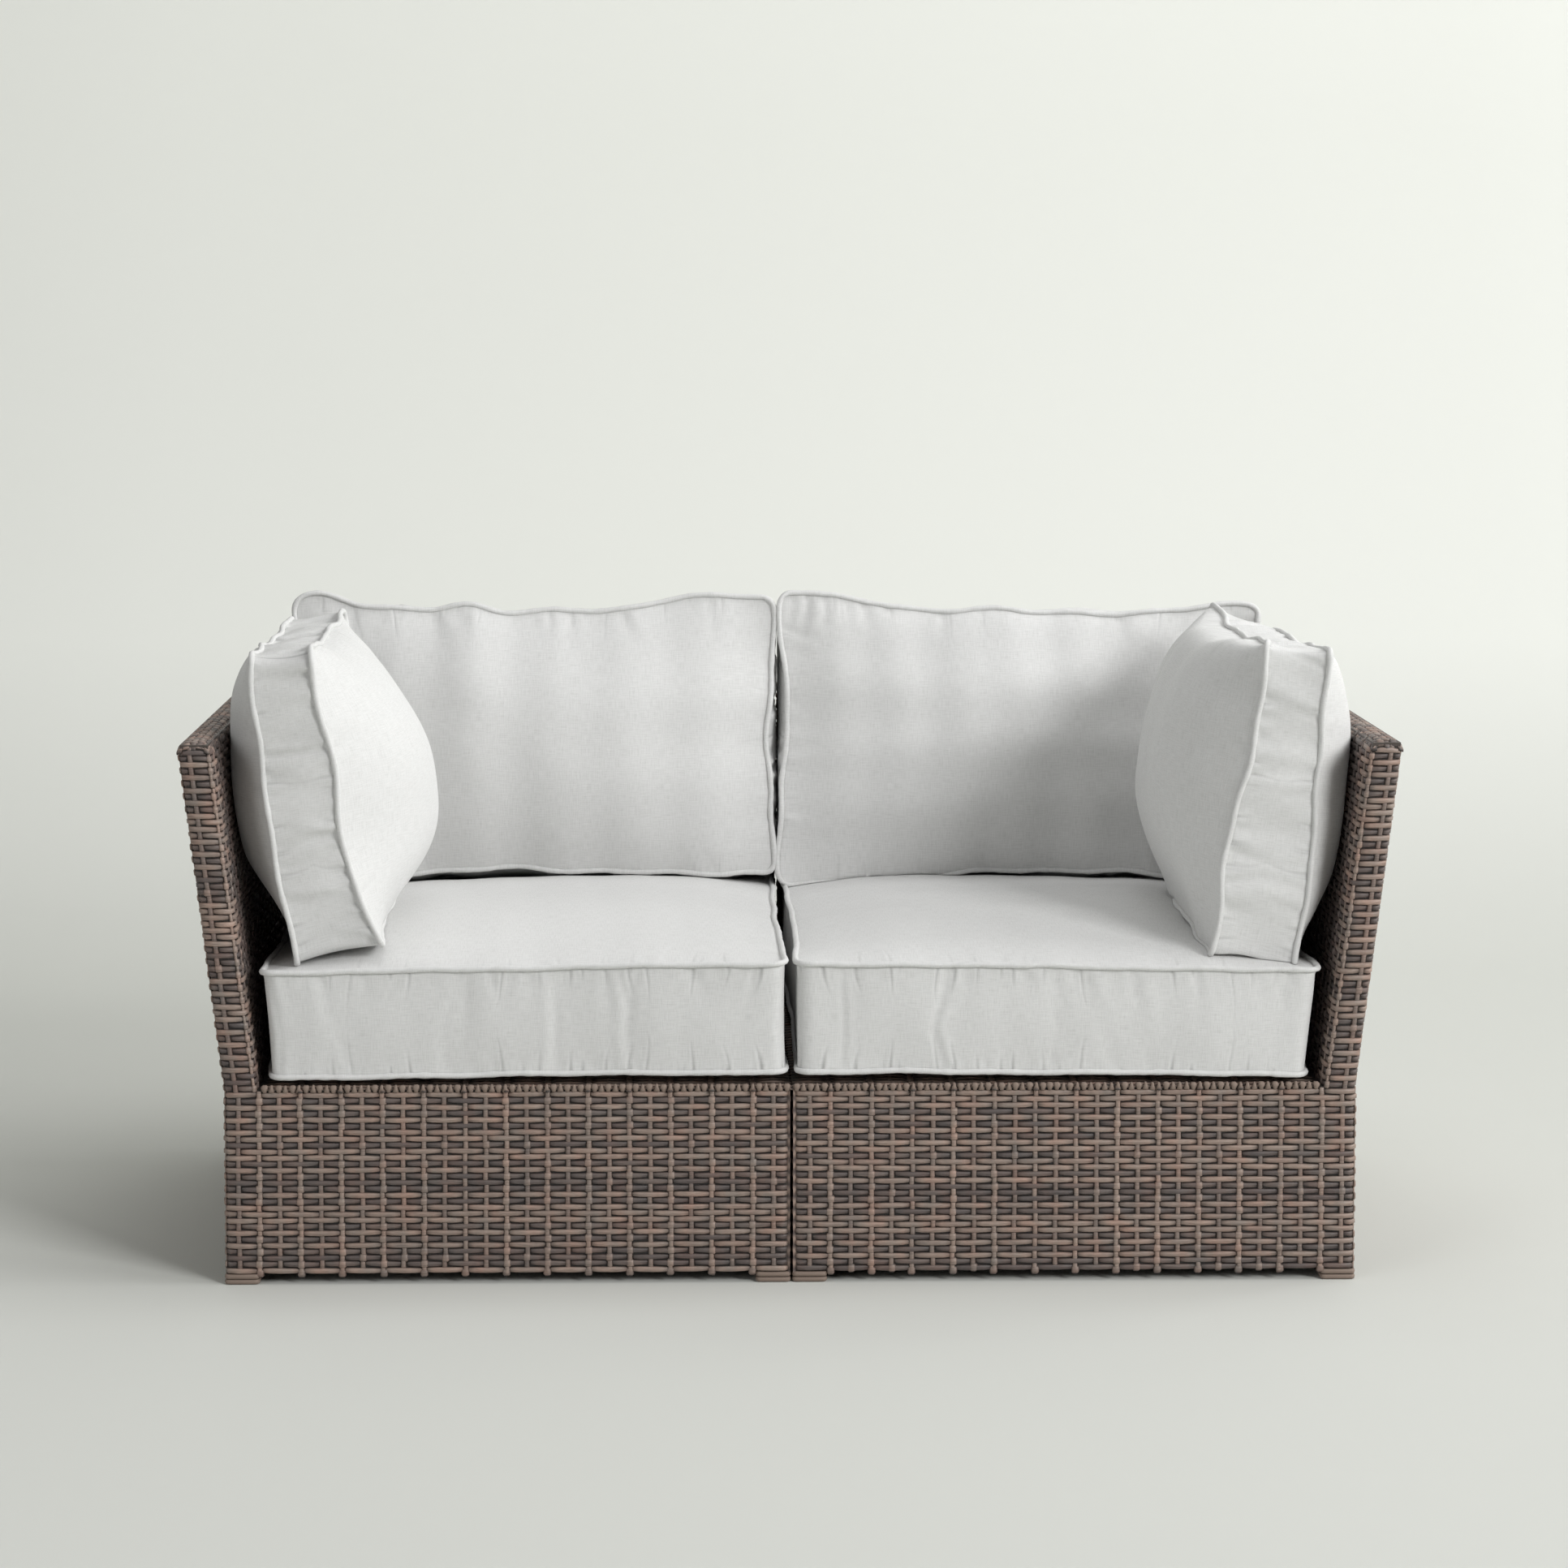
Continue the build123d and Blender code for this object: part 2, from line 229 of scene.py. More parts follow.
# What the photograph shows otherwise on one cushion than on its mirrored twin
SHAPES = {
    "right_side": {
        "crown": 0.086, "rear_crown": 0.086, "front_fill": (0.90, 0.36),
        "rear_fill": (0.95, 0.58), "evenness": 3.2, "skew": 0.46},
}
NUDGES = {
    "left_seat": (Nudge("rear", (1, -1), (-0.011, 0, 0), 0.08),),
    "right_seat": (Nudge("rear", (1, -1), (-0.016, 0, 0), 0.08),),
    "left_back": (
        Nudge("front", (0.88, 1), (0, 0.020, 0), 0.05),
        Nudge("front", (0.27, 1), (0, 0.012, 0), 0.04),
        Nudge("front", (-0.60, 1), (0, 0.014, 0), 0.06),
        Nudge("front", (-0.87, 1), (0, 0.017, 0), 0.07),
        Nudge("front", (0.30, -1), (0, 0.014, 0), 0.16),
        Nudge("front", (-0.30, -1), (0, 0.012, 0), 0.14),
        Nudge("front", (-0.92, -1), (0, 0.015, 0), 0.09),
        Nudge("rear", (-0.87, 1), (0, 0.010, 0), 0.10),
        Nudge("rear", (0.88, 1), (0, 0.010, 0), 0.08),
    ),
    "right_back": (
        Nudge("front", (-0.92, 1), (-0.003, 0.021, 0), 0.08),
        Nudge("front", (-0.60, 1), (0, 0.006, 0), 0.06),
        Nudge("front", (0.42, 1), (0, -0.006, 0), 0.06),
        Nudge("front", (-0.22, -1), (0, 0.010, 0), 0.10),
        Nudge("front", (0.22, -1), (0, 0.009, 0), 0.11),
        Nudge("front", (0.60, -1), (0, 0.008, 0), 0.10),
        Nudge("front", (-1, -0.72), (-0.010, 0, 0), 0.05),
        Nudge("front", (-1, -0.15), (-0.005, 0, 0), 0.05),
        Nudge("rear", (-0.92, 1), (0, 0.010, 0), 0.10),
        Nudge("rear", (1, 1), (0.016, -0.006, 0), 0.08),
    ),
    "left_side": (
        Nudge("front", (-1, -1), (0.004, 0.004, -0.030), 0.08),
        Nudge("front", (1, -0.35), (0, 0, -0.010), 0.07),
        Nudge("front", (1, -1), (0, 0.012, 0.007), 0.06),
        Nudge("front", (1, 1), (0, -0.009, 0.002), 0.05),
        Nudge("rear", (1, -1), (0, -0.004, 0.009), 0.06),
        Nudge("rear", (1, 1), (0, 0, 0.002), 0.05),
    ),
    "right_side": (
        Nudge("front", (-1, -1), (0.004, 0.004, -0.030), 0.08),
        Nudge("front", (-1, 1), (0, 0.006, 0.003), 0.07),
        Nudge("front", (1, -1), (0, -0.008, -0.013), 0.07),
        Nudge("front", (1, 1), (0, 0.004, 0.003), 0.05),
        Nudge("rear", (-1, 1), (0, -0.018, 0), 0.10),
        Nudge("rear", (1, -1), (0, -0.018, -0.006), 0.06),
        Nudge("rear", (1, -0.4), (0, 0, -0.009), 0.12),
        Nudge("rear", (1, 1), (0, 0.004, 0), 0.05),
    ),
}


class Stage(bpy.types.PropertyGroup):
    """The camera, the floor and the lamps."""

    camera_place: FloatVectorProperty(
        name="Camera place", description="Where the camera stands", subtype="TRANSLATION",
        default=(-0.148, -4.792, 1.258), precision=4)
    camera_yaw: FloatProperty(
        name="Camera yaw", description="How far the camera turns to its right", subtype="ANGLE",
        default=math.radians(1.03))
    camera_pitch: FloatProperty(
        name="Camera pitch", description="How far the camera looks down", subtype="ANGLE",
        default=math.radians(4.0))
    focal_length: FloatProperty(
        name="Focal length", description="Of the lens on a 36 mm sensor, in millimetres",
        default=81.61)
    shift: FloatVectorProperty(
        name="Lens shift", description="Sideways and upwards, as shares of the frame", size=2,
        default=(0.0299, -0.1608), precision=4)
    floor_colour: FloatVectorProperty(
        name="Floor colour", description="Of the floor and the backdrop", subtype="COLOR",
        default=(0.71, 0.72, 0.68))
    # Painted light: how much lighter the backdrop is painted than the floor
    backdrop_painted_light: FloatProperty(
        name="Backdrop lift", description="How much lighter the backdrop is than the floor",
        subtype="FACTOR", default=1.17)
    backdrop_distance: FloatProperty(
        name="Backdrop distance", description="From the middle of the loveseat to the backdrop",
        unit="LENGTH", default=3.2)


class Weave(bpy.types.PropertyGroup):
    """Sizes and colours of the flat resin strand."""

    strand_width: FloatProperty(
        name="Strand width", description="Of the strand that runs along a row", unit="LENGTH",
        default=0.0075, precision=4)
    strand_thickness: FloatProperty(
        name="Strand thickness", description="Of every strand", unit="LENGTH",
        default=0.0021, precision=4)
    stake_width: FloatProperty(
        name="Stake width", description="Of the upright strand between two bars", unit="LENGTH",
        default=0.0066, precision=4)
    knot_width: FloatProperty(
        name="Knot width", description="Of the upright strand where it lies over a dark row",
        unit="LENGTH", default=0.0100, precision=4)
    crest: FloatProperty(
        name="Crest", description="How far a strand stands out of the skin's face", unit="LENGTH",
        default=0.0016, precision=4)
    recess: FloatProperty(
        name="Recess", description="How much deeper a dark row lies", unit="LENGTH",
        default=0.0008, precision=4)
    dive: FloatProperty(
        name="Dive", description="How far the end of a bar sinks under its neighbour",
        unit="LENGTH", default=0.0032, precision=4)
    jitter: FloatProperty(
        name="Jitter", description="How unevenly the strands lie", unit="LENGTH",
        default=0.0004, precision=4)
    light: FloatVectorProperty(
        name="Light strand", description="Colour of the light strand", subtype="COLOR",
        default=(0.330, 0.246, 0.203))
    dark: FloatVectorProperty(
        name="Dark strand", description="Colour of the dark strand", subtype="COLOR",
        default=(0.105, 0.082, 0.076))
    seed: IntProperty(
        name="Seed", description="Of the unevenness of the strands", default=7)


class Upholstery(bpy.types.PropertyGroup):
    """Sizes and colours of the cushions."""

    piping: FloatProperty(
        name="Piping radius", description="Of the cord sewn into each seam", unit="LENGTH",
        default=0.0038, precision=4)
    mesh_step: FloatProperty(
        name="Mesh step", description="Length of one facet of a cushion's cover", unit="LENGTH",
        default=0.0040, precision=4)
    fabric: FloatVectorProperty(
        name="Fabric", description="Colour of the cover", subtype="COLOR",
        default=(0.73, 0.73, 0.72))
    thread_pitch: FloatProperty(
        name="Thread pitch", description="Of the cover's plain weave", unit="LENGTH",
        default=0.00069115, precision=5)
    seed: IntProperty(
        name="Seed", description="Of the creases in the covers", default=3)


class Graph:
    """A node tree under construction. One method makes any node."""

    def __init__(self, tree):
        self.tree = tree

    def node(self, kind, settings=None, inputs=None, output=0):
        """Makes a node, sets its settings first and then the values or links of its sockets.

        A list of links goes into a socket that takes several. An output node gives back None.
        """
        made = self.tree.nodes.new(kind)
        for name, value in (settings or {}).items():
            if name == "stops":
                self.set_stops(made.color_ramp, value)
            else:
                setattr(made, name, value)
        for key, value in (inputs or {}).items():
            links = value if isinstance(value, list) else [value]
            if isinstance(links[0], Value):
                for link in links:
                    self.tree.links.new(link.socket, made.inputs[key])
            else:
                made.inputs[key].default_value = value
        return Value(self, made.outputs[output]) if len(made.outputs) else None

    @staticmethod
    def set_stops(ramp, stops):
        """Fills a colour ramp from pairs of a position and a grey level or colour."""
        while len(ramp.elements) < len(stops):
            ramp.elements.new(0.5)
        for element, (position, colour) in zip(ramp.elements, stops):
            element.position = position
            element.color = (*colour, 1) if isinstance(colour, tuple) else (colour,) * 3 + (1,)

    def mix(self, factor, first, second):
        """A colour between two colours."""
        inputs = {0: factor, 6: self.colour(first), 7: self.colour(second)}
        return self.node("ShaderNodeMix", {"data_type": "RGBA"}, inputs, output=2)

    def tint(self, first, second):
        """Two colours, or a colour and a shade, multiplied."""
        settings = {"data_type": "RGBA", "blend_type": "MULTIPLY"}
        inputs = {0: 1.0, 6: self.colour(first), 7: self.colour(second)}
        return self.node("ShaderNodeMix", settings, inputs, output=2)

    def ramp(self, value, *stops):
        """A colour ramp read at a value."""
        return self.node("ShaderNodeValToRGB", {"stops": stops}, {"Fac": value})

    def noise(self, place, scale, detail=2.0):
        """Cloudy noise over a place."""
        return self.node(
            "ShaderNodeTexNoise", None, {"Vector": place, "Scale": scale, "Detail": detail})

    def bands(self, place, way, scale, distortion):
        """Soft bands across one axis of a place."""
        return self.node(
            "ShaderNodeTexWave", {"wave_type": "BANDS", "bands_direction": way},
            {"Vector": place, "Scale": scale, "Distortion": distortion}, output=1)

    def stretched(self, place, scale):
        """A place with its axes scaled."""
        return self.node("ShaderNodeMapping", None, {"Vector": place, "Scale": scale})

    def attribute(self, name):
        """A number stored on the mesh."""
        return self.node("ShaderNodeAttribute", {"attribute_name": name}).other("Fac")

    def place(self):
        """The place on the object, in metres."""
        return self.node("ShaderNodeTexCoord").other("Object")

    @staticmethod
    def colour(value):
        """A colour as a socket takes it."""
        return value if isinstance(value, Value) else (*value, 1)


class Value:
    """A number socket that takes part in Python arithmetic."""

    def __init__(self, graph, socket):
        self.graph = graph
        self.socket = socket

    def other(self, name):
        """Another output of the same node."""
        return Value(self.graph, self.socket.node.outputs[name])

    def maths(self, operation, *others, flipped=False):
        """A Math node on this value and others."""
        terms = (*others, self) if flipped else (self, *others)
        return self.graph.node(
            "ShaderNodeMath", {"operation": operation}, dict(enumerate(terms)))

    def bell(self, width):
        """A bell curve of this value, which is 1 at 0 and fades over the width."""
        return (self * self * (-1 / width ** 2)).maths("EXPONENT")

    def __add__(self, other):
        return self.maths("ADD", other)

    def __radd__(self, other):
        return self.maths("ADD", other)

    def __sub__(self, other):
        return self.maths("SUBTRACT", other)

    def __rsub__(self, other):
        return self.maths("SUBTRACT", other, flipped=True)

    def __mul__(self, other):
        return self.maths("MULTIPLY", other)

    def __rmul__(self, other):
        return self.maths("MULTIPLY", other)

    def __truediv__(self, other):
        return self.maths("DIVIDE", other)

    def __gt__(self, other):
        return self.maths("GREATER_THAN", other)


def new_material(name):
    """An empty material with its graph and its output node."""
    material = bpy.data.materials.new(name)
    material.use_nodes = True
    material.node_tree.nodes.clear()
    return material, Graph(material.node_tree)


def finish_material(graph, inputs, bump=None, clear=None):
    """Ends a material in one Principled shader, which is see-through where clear is 1."""
    if bump is not None:
        height, distance, strength = bump
        inputs["Normal"] = graph.node(
            "ShaderNodeBump", None,
            {"Height": height, "Distance": distance, "Strength": strength})
    shader = graph.node("ShaderNodeBsdfPrincipled", None, inputs)
    if clear is not None:
        glass = graph.node("ShaderNodeBsdfTransparent")
        shader = graph.node("ShaderNodeMixShader", None, {0: clear, 1: shader, 2: glass})
    graph.node("ShaderNodeOutputMaterial", None, {"Surface": shader})


def wicker_material(weave):
    """Flat resin strand: a tone for each strand, long streaks, and shade down in the gaps."""
    material, graph = new_material("wicker")
    place = graph.place()
    level = graph.stretched(place, (1, 1, 9))
    streaks = graph.noise(level, 70.0, 4.0)
    patches = graph.noise(place, 34.0)
    grain = graph.noise(level, 420.0)
    colour = graph.mix(graph.attribute("tone"), weave.dark, weave.light)
    pink = graph.ramp(
        patches, (0.30, (0.86, 0.94, 0.98)), (0.5, (1.0, 1.0, 1.0)), (0.72, (1.16, 1.02, 0.98)))
    colour = graph.tint(colour, pink)
    colour = graph.tint(colour, graph.ramp(streaks, (0.32, 0.74), (0.52, 1.0), (0.70, 1.14)))
    # Painted shade: the colour darkens where a strand's rise is low, at its dives, its edges and in
    # the gaps between strands
    gap_shade = graph.ramp(graph.attribute("rise"), (0.0, 0.16), (0.45, 0.62), (0.85, 1.0))
    finish_material(
        graph,
        {"Base Color": graph.tint(colour, gap_shade), "Roughness": 0.40 + 0.22 * patches,
         "IOR": 1.46},
        (grain * 0.5 + streaks, 0.0005, 0.5))
    return material


def fabric_material(upholstery):
    """Light linen-look fabric: fine threads both ways, with slubs, creases with painted shade in
    them, and a soft sheen.
    """
    material, graph = new_material("cushion_linen")
    cloth = graph.node("ShaderNodeUVMap", {"uv_map": "cloth"})
    weft = graph.noise(graph.stretched(cloth, (60, 900, 1)), 1.0, 3.0)
    warp = graph.noise(graph.stretched(cloth, (900, 60, 1)), 1.0, 3.0)
    slub = (weft + warp) * 0.5
    thread_scale = WAVE_PITCH / upholstery.thread_pitch
    threads = graph.bands(cloth, "X", thread_scale, 0.6)
    picks = graph.bands(cloth, "Y", thread_scale, 0.6)
    uneven = graph.ramp(
        slub, (0.30, (0.86, 0.86, 0.85)), (0.5, (1.0, 1.0, 1.0)), (0.70, (1.09, 1.09, 1.09)))
    colour = graph.tint(upholstery.fabric, uneven)
    seam = graph.node("ShaderNodeUVMap", {"uv_map": "seam"})
    run = graph.node("ShaderNodeSeparateXYZ", None, {"Vector": seam})
    away = run.other("Y")
    gathers, shade = crease_heights(graph, seam, run, away)
    joint = run.bell(0.0010541) * (1 - (away > SEAM_REACH))
    # Painted shade darkens the colour in the creases' grooves, and the joint line across the boxing
    # is darkened too
    folds = (1 - shade * 0.24 - joint * 0.30).maths("MAXIMUM", 0.55)
    height = threads * 0.35 + picks * 0.35 + slub + gathers * 4.2 - joint * 1.6
    finish_material(
        graph,
        {"Base Color": graph.tint(colour, folds), "Roughness": 0.92, "Sheen Weight": 0.12,
         "Sheen Roughness": 0.5, "Specular IOR Level": 0.25},
        (height, 0.0006, 0.55))
    return material


def crease_heights(graph, seam, run, away):
    """Two families of short creases at right angles to the seams: their height and the painted
    shade in their grooves.

    Each starts at the seam with a length and a strength of its own, and fades out. A crease is
    a groove with a soft ridge at each side. On the faces they are weaker than on the boxing.
    """
    drift = graph.node(
        "ShaderNodeTexNoise", {"noise_dimensions": "2D"},
        {"Vector": seam, "Scale": 9.0, "Detail": 1.0})
    heights, shades = [], []
    for pitch, offset, reach in ((0.041, 0.0, 0.040), (0.060, 7.3, 0.062)):
        crease = graph.node(
            "ShaderNodeTexVoronoi", {"voronoi_dimensions": "1D"},
            {"W": (run + offset + (drift - 0.5) * away * 0.8) * (1 / pitch), "Scale": 1.0})
        chance = graph.node("ShaderNodeSeparateColor", None, {"Color": crease.other("Color")})
        length = chance * reach + 0.006
        fade = (1 - away / length).maths("MAXIMUM", 0.0)
        fade = fade * (0.15 + 0.85 * chance.other("Green")) * (1 - (run > FACE_RUN - 1) * 0.55)
        off = crease * pitch
        groove = off.bell(0.0020)
        flank = (off - 0.0046).bell(0.0027735)
        heights.append((flank * 0.45 - groove) * fade)
        # The groove's darkening, used as painted shade
        shades.append(groove * fade)
    return heights[0] + heights[1], shades[0] + shades[1]


def coat_material():
    """Dark brown powder coat with a fine orange-peel surface and a little dust."""
    material, graph = new_material("powder_coat")
    place = graph.place()
    dust = graph.noise(place, 9.0, 6.0)
    amount = graph.ramp(dust, (0.45, 0.0), (0.75, 0.35))
    colour = graph.mix(amount, (0.045, 0.034, 0.028), (0.085, 0.072, 0.062))
    finish_material(
        graph, {"Base Color": colour, "Roughness": 0.42 + 0.3 * dust},
        (graph.noise(place, 900.0), 0.0002, 0.3))
    return material


def plastic_material():
    """Moulded black plastic with a spark-eroded grain and scuffs."""
    material, graph = new_material("moulded_black")
    place = graph.place()
    scuffs = graph.noise(place, 60.0, 5.0)
    amount = graph.ramp(scuffs, (0.5, 0.0), (0.8, 0.5))
    colour = graph.mix(amount, (0.012, 0.012, 0.012), (0.05, 0.049, 0.047))
    finish_material(
        graph, {"Base Color": colour, "Roughness": 0.45 + 0.25 * scuffs},
        (graph.noise(place, 1400.0), 0.0002, 0.4))
    return material


def inner_skin_material(weave):
    """The woven walls that face each other between the modules, as colour and bump."""
    material, graph = new_material("inner_wicker")
    place = graph.place()
    two_rows, two_stakes = 0.015666, 0.051138
    rows = graph.bands(place, "Z", WAVE_PITCH / two_rows, 0.3)
    stakes = graph.bands(place, "Y", WAVE_PITCH / two_stakes, 0.3)
    colour = graph.mix(rows * stakes, weave.dark, weave.light)
    finish_material(
        graph, {"Base Color": colour, "Roughness": 0.5}, (rows + stakes, 0.002, 0.7))
    return material


def new_object(name, mesh):
    """A mesh object linked into the scene."""
    made = bpy.data.objects.new(name, mesh)
    bpy.context.scene.collection.objects.link(made)
    return made


def turn_outwards(mesh):
    """Turns the faces of a closed mesh outwards."""
    shell = bmesh.new()
    shell.from_mesh(mesh)
    bmesh.ops.recalc_face_normals(shell, faces=shell.faces)
    shell.to_mesh(mesh)
    shell.free()


def smooth(mesh):
    """Shades every face smooth."""
    mesh.polygons.foreach_set("use_smooth", [True] * len(mesh.polygons))


def mesh_points(mesh):
    """A mesh's vertices as an array."""
    places = np.empty(len(mesh.vertices) * 3)
    mesh.vertices.foreach_get("co", places)
    return places.reshape(-1, 3)


def remove_object(thing):
    """Deletes a helper object and its mesh."""
    mesh = thing.data
    bpy.data.objects.remove(thing)
    bpy.data.meshes.remove(mesh)


def tube_faces(first, size, count, closed=False):
    """Faces of a tube of rings of points, which has two ends or is closed into a loop."""
    faces = []
    for ring in range(count if closed else count - 1):
        here = first + ring * size
        there = first + (ring + 1) % count * size
        for corner in range(size):
            after = (corner + 1) % size
            faces.append((here + corner, here + after, there + after, there + corner))
    if not closed:
        last = first + (count - 1) * size
        faces.append(tuple(reversed(range(first, first + size))))
        faces.append(tuple(range(last, last + size)))
    return faces


def strand_piece(name, length, width, thickness, crest, dive, cuts, taper=0.0):
    """One strand seen between two others: a flat strip with slanting edges that dives at its ends.

    It runs along X, Z is its thickness, and the attribute rise is 1 at its crest and 0 at its ends.
    """
    half = length / 2
    verts, rises = [], []
    for cut in cuts:
        sink = dive * abs(cut) ** 2.6
        side = width / 2 * (1 - taper * cut ** 6)
        top = crest - sink
        flat = side * 0.60
        for y, z in ((-side, top - thickness), (-flat, top), (flat, top), (side, top - thickness)):
            verts.append((cut * half, y, z))
        # The rise, 0.55 of it on the slanting edges, drives the painted shade of the wicker
        # material
        rise = max(0.0, 1 - abs(cut) ** 4)
        rises.extend((rise * 0.55, rise, rise, rise * 0.55))
    mesh = bpy.data.meshes.new(name)
    mesh.from_pydata(verts, [], tube_faces(0, 4, len(cuts)))
    mesh.attributes.new("rise", "FLOAT", "POINT").data.foreach_set("value", rises)
    turn_outwards(mesh)
    smooth(mesh)
    return new_object(name, mesh)


def weaving_tree(material):
    """Geometry nodes that lay strand pieces on the crossings of a sheet."""
    tree = bpy.data.node_groups.new("woven sheet", "GeometryNodeTree")
    face = tree.interface
    face.new_socket("Crossings", in_out="INPUT", socket_type="NodeSocketGeometry")
    for name, kind in (
        ("Stake Pitch", "NodeSocketFloat"), ("Row Pitch", "NodeSocketFloat"),
        ("Jitter", "NodeSocketFloat"), ("Seed", "NodeSocketInt"),
        ("Bar", "NodeSocketObject"), ("Stake", "NodeSocketObject"), ("Knot", "NodeSocketObject"),
        ("Bead", "NodeSocketObject"),
    ):
        face.new_socket(name, in_out="INPUT", socket_type=kind)
    face.new_socket("Sheet", in_out="OUTPUT", socket_type="NodeSocketGeometry")
    graph = Graph(tree)
    given = graph.node("NodeGroupInput")
    cell = graph.node("GeometryNodeInputPosition")
    pitch = graph.node("ShaderNodeCombineXYZ", None, {
        "X": given.other("Stake Pitch"), "Y": given.other("Row Pitch"), "Z": 1.0})
    flat = graph.node("ShaderNodeVectorMath", {"operation": "MULTIPLY"}, {0: cell, 1: pitch})
    reach = given.other("Jitter")
    low = graph.node("ShaderNodeCombineXYZ", None, {
        "X": reach * -2.0, "Y": reach * -1.0, "Z": reach * -0.8})
    high = graph.node("ShaderNodeCombineXYZ", None, {
        "X": reach * 2.0, "Y": reach * 1.0, "Z": reach * 0.4})
    slip = graph.node(
        "FunctionNodeRandomValue", {"data_type": "FLOAT_VECTOR"},
        {"Min": low, "Max": high, "Seed": given.other("Seed")})
    placed = graph.node("ShaderNodeVectorMath", {"operation": "ADD"}, {0: flat, 1: slip})
    points = graph.node("GeometryNodeSetPosition", None, {
        "Geometry": given.other("Crossings"), "Position": placed})
    kind = graph.node("GeometryNodeInputNamedAttribute", {"data_type": "INT"}, {"Name": "kind"})
    twist = graph.node(
        "FunctionNodeRandomValue", {"data_type": "FLOAT_VECTOR"},
        {"Min": (-0.06, -0.01, -0.02), "Max": (0.06, 0.01, 0.02), "Seed": given.other("Seed")})
    sheets = []
    for number, name in ((BAR, "Bar"), (STAKE, "Stake"), (KNOT, "Knot"), (BEAD, "Bead")):
        shape = graph.node("GeometryNodeObjectInfo", None, {"Object": given.other(name)})
        chosen = graph.node(
            "FunctionNodeCompare", {"data_type": "INT", "operation": "EQUAL"},
            {"A": kind, "B": number})
        sheets.append(graph.node("GeometryNodeInstanceOnPoints", None, {
            "Points": points, "Selection": chosen, "Instance": shape.other("Geometry"),
            "Rotation": twist}))
    joined = graph.node("GeometryNodeJoinGeometry", None, {"Geometry": sheets})
    real = graph.node("GeometryNodeRealizeInstances", None, {"Geometry": joined})
    dressed = graph.node(
        "GeometryNodeSetMaterial", None, {"Geometry": real, "Material": material})
    graph.node("NodeGroupOutput", None, {"Sheet": dressed})
    return tree


def set_inputs(modifier, values):
    """Sets a modifier's inputs by the identifiers of their sockets."""
    sockets = {item.name: item.identifier for item in modifier.node_group.interface.items_tree
               if item.in_out == "INPUT"}
    for name, value in values.items():
        modifier[sockets[name]] = value


def rhythm_tones(rows, seed, dark_rows):
    """A tone between 0, dark, and 1, light, for each row from the foot up, and which are dark."""
    rng = np.random.default_rng(seed)
    dark = np.array([dark_rows(row, rng) for row in range(rows)])
    tones = np.where(dark, rng.uniform(*DARK_ROW, rows), rng.uniform(*LIGHT_ROW, rows))
    return tones, dark


def weave_points(columns, first_row, tones, dark, seed, recess, painted_shade_columns=()):
    """Crossings of a sheet as cells with a kind, a tone and a place, by the rule of the weave.

    A row passes over every second stake, and the top row of the base over the even ones. A
    dark row lies deeper, and the light stakes that it passes show on it as knots. In the columns
    given for painted shade the strands are darkened to a share of their tone.
    """
    rng = np.random.default_rng(seed)
    stake_tones = {column: rng.uniform(*STAKE_TONES[column % 2]) for column in columns}
    plain_stakes = {column for column in columns if rng.uniform() < PLAIN_CHANCE}
    cells, kinds, shades = [], [], []

    def lay(cell, kind, shade):
        cells.append(cell)
        kinds.append(kind)
        # A strand in a column on a panel's inner face is darkened to a share of its tone, as
        # painted shade
        shades.append(shade * PAINTED_SHADE_SHARE if cell[0] in painted_shade_columns else shade)

    for row, (row_tone, deep) in enumerate(zip(tones, dark), first_row):
        for column in columns:
            upright = stake_tones[column] + rng.uniform(-0.08, 0.08)
            if (row + column + BASE_ROWS) % 2 == 0:
                lay((column, row, 0), STAKE, upright)
                continue
            depth = -recess if deep else 0.0
            lay((column, row, depth), BAR, row_tone + rng.uniform(-0.12, 0.12))
            if deep and column not in plain_stakes:
                if rng.uniform() < KNOT_CHANCES[column % 2]:
                    lay((column, row, recess * 0.4), KNOT, max(upright, 0.6))
    return cells, kinds, shades


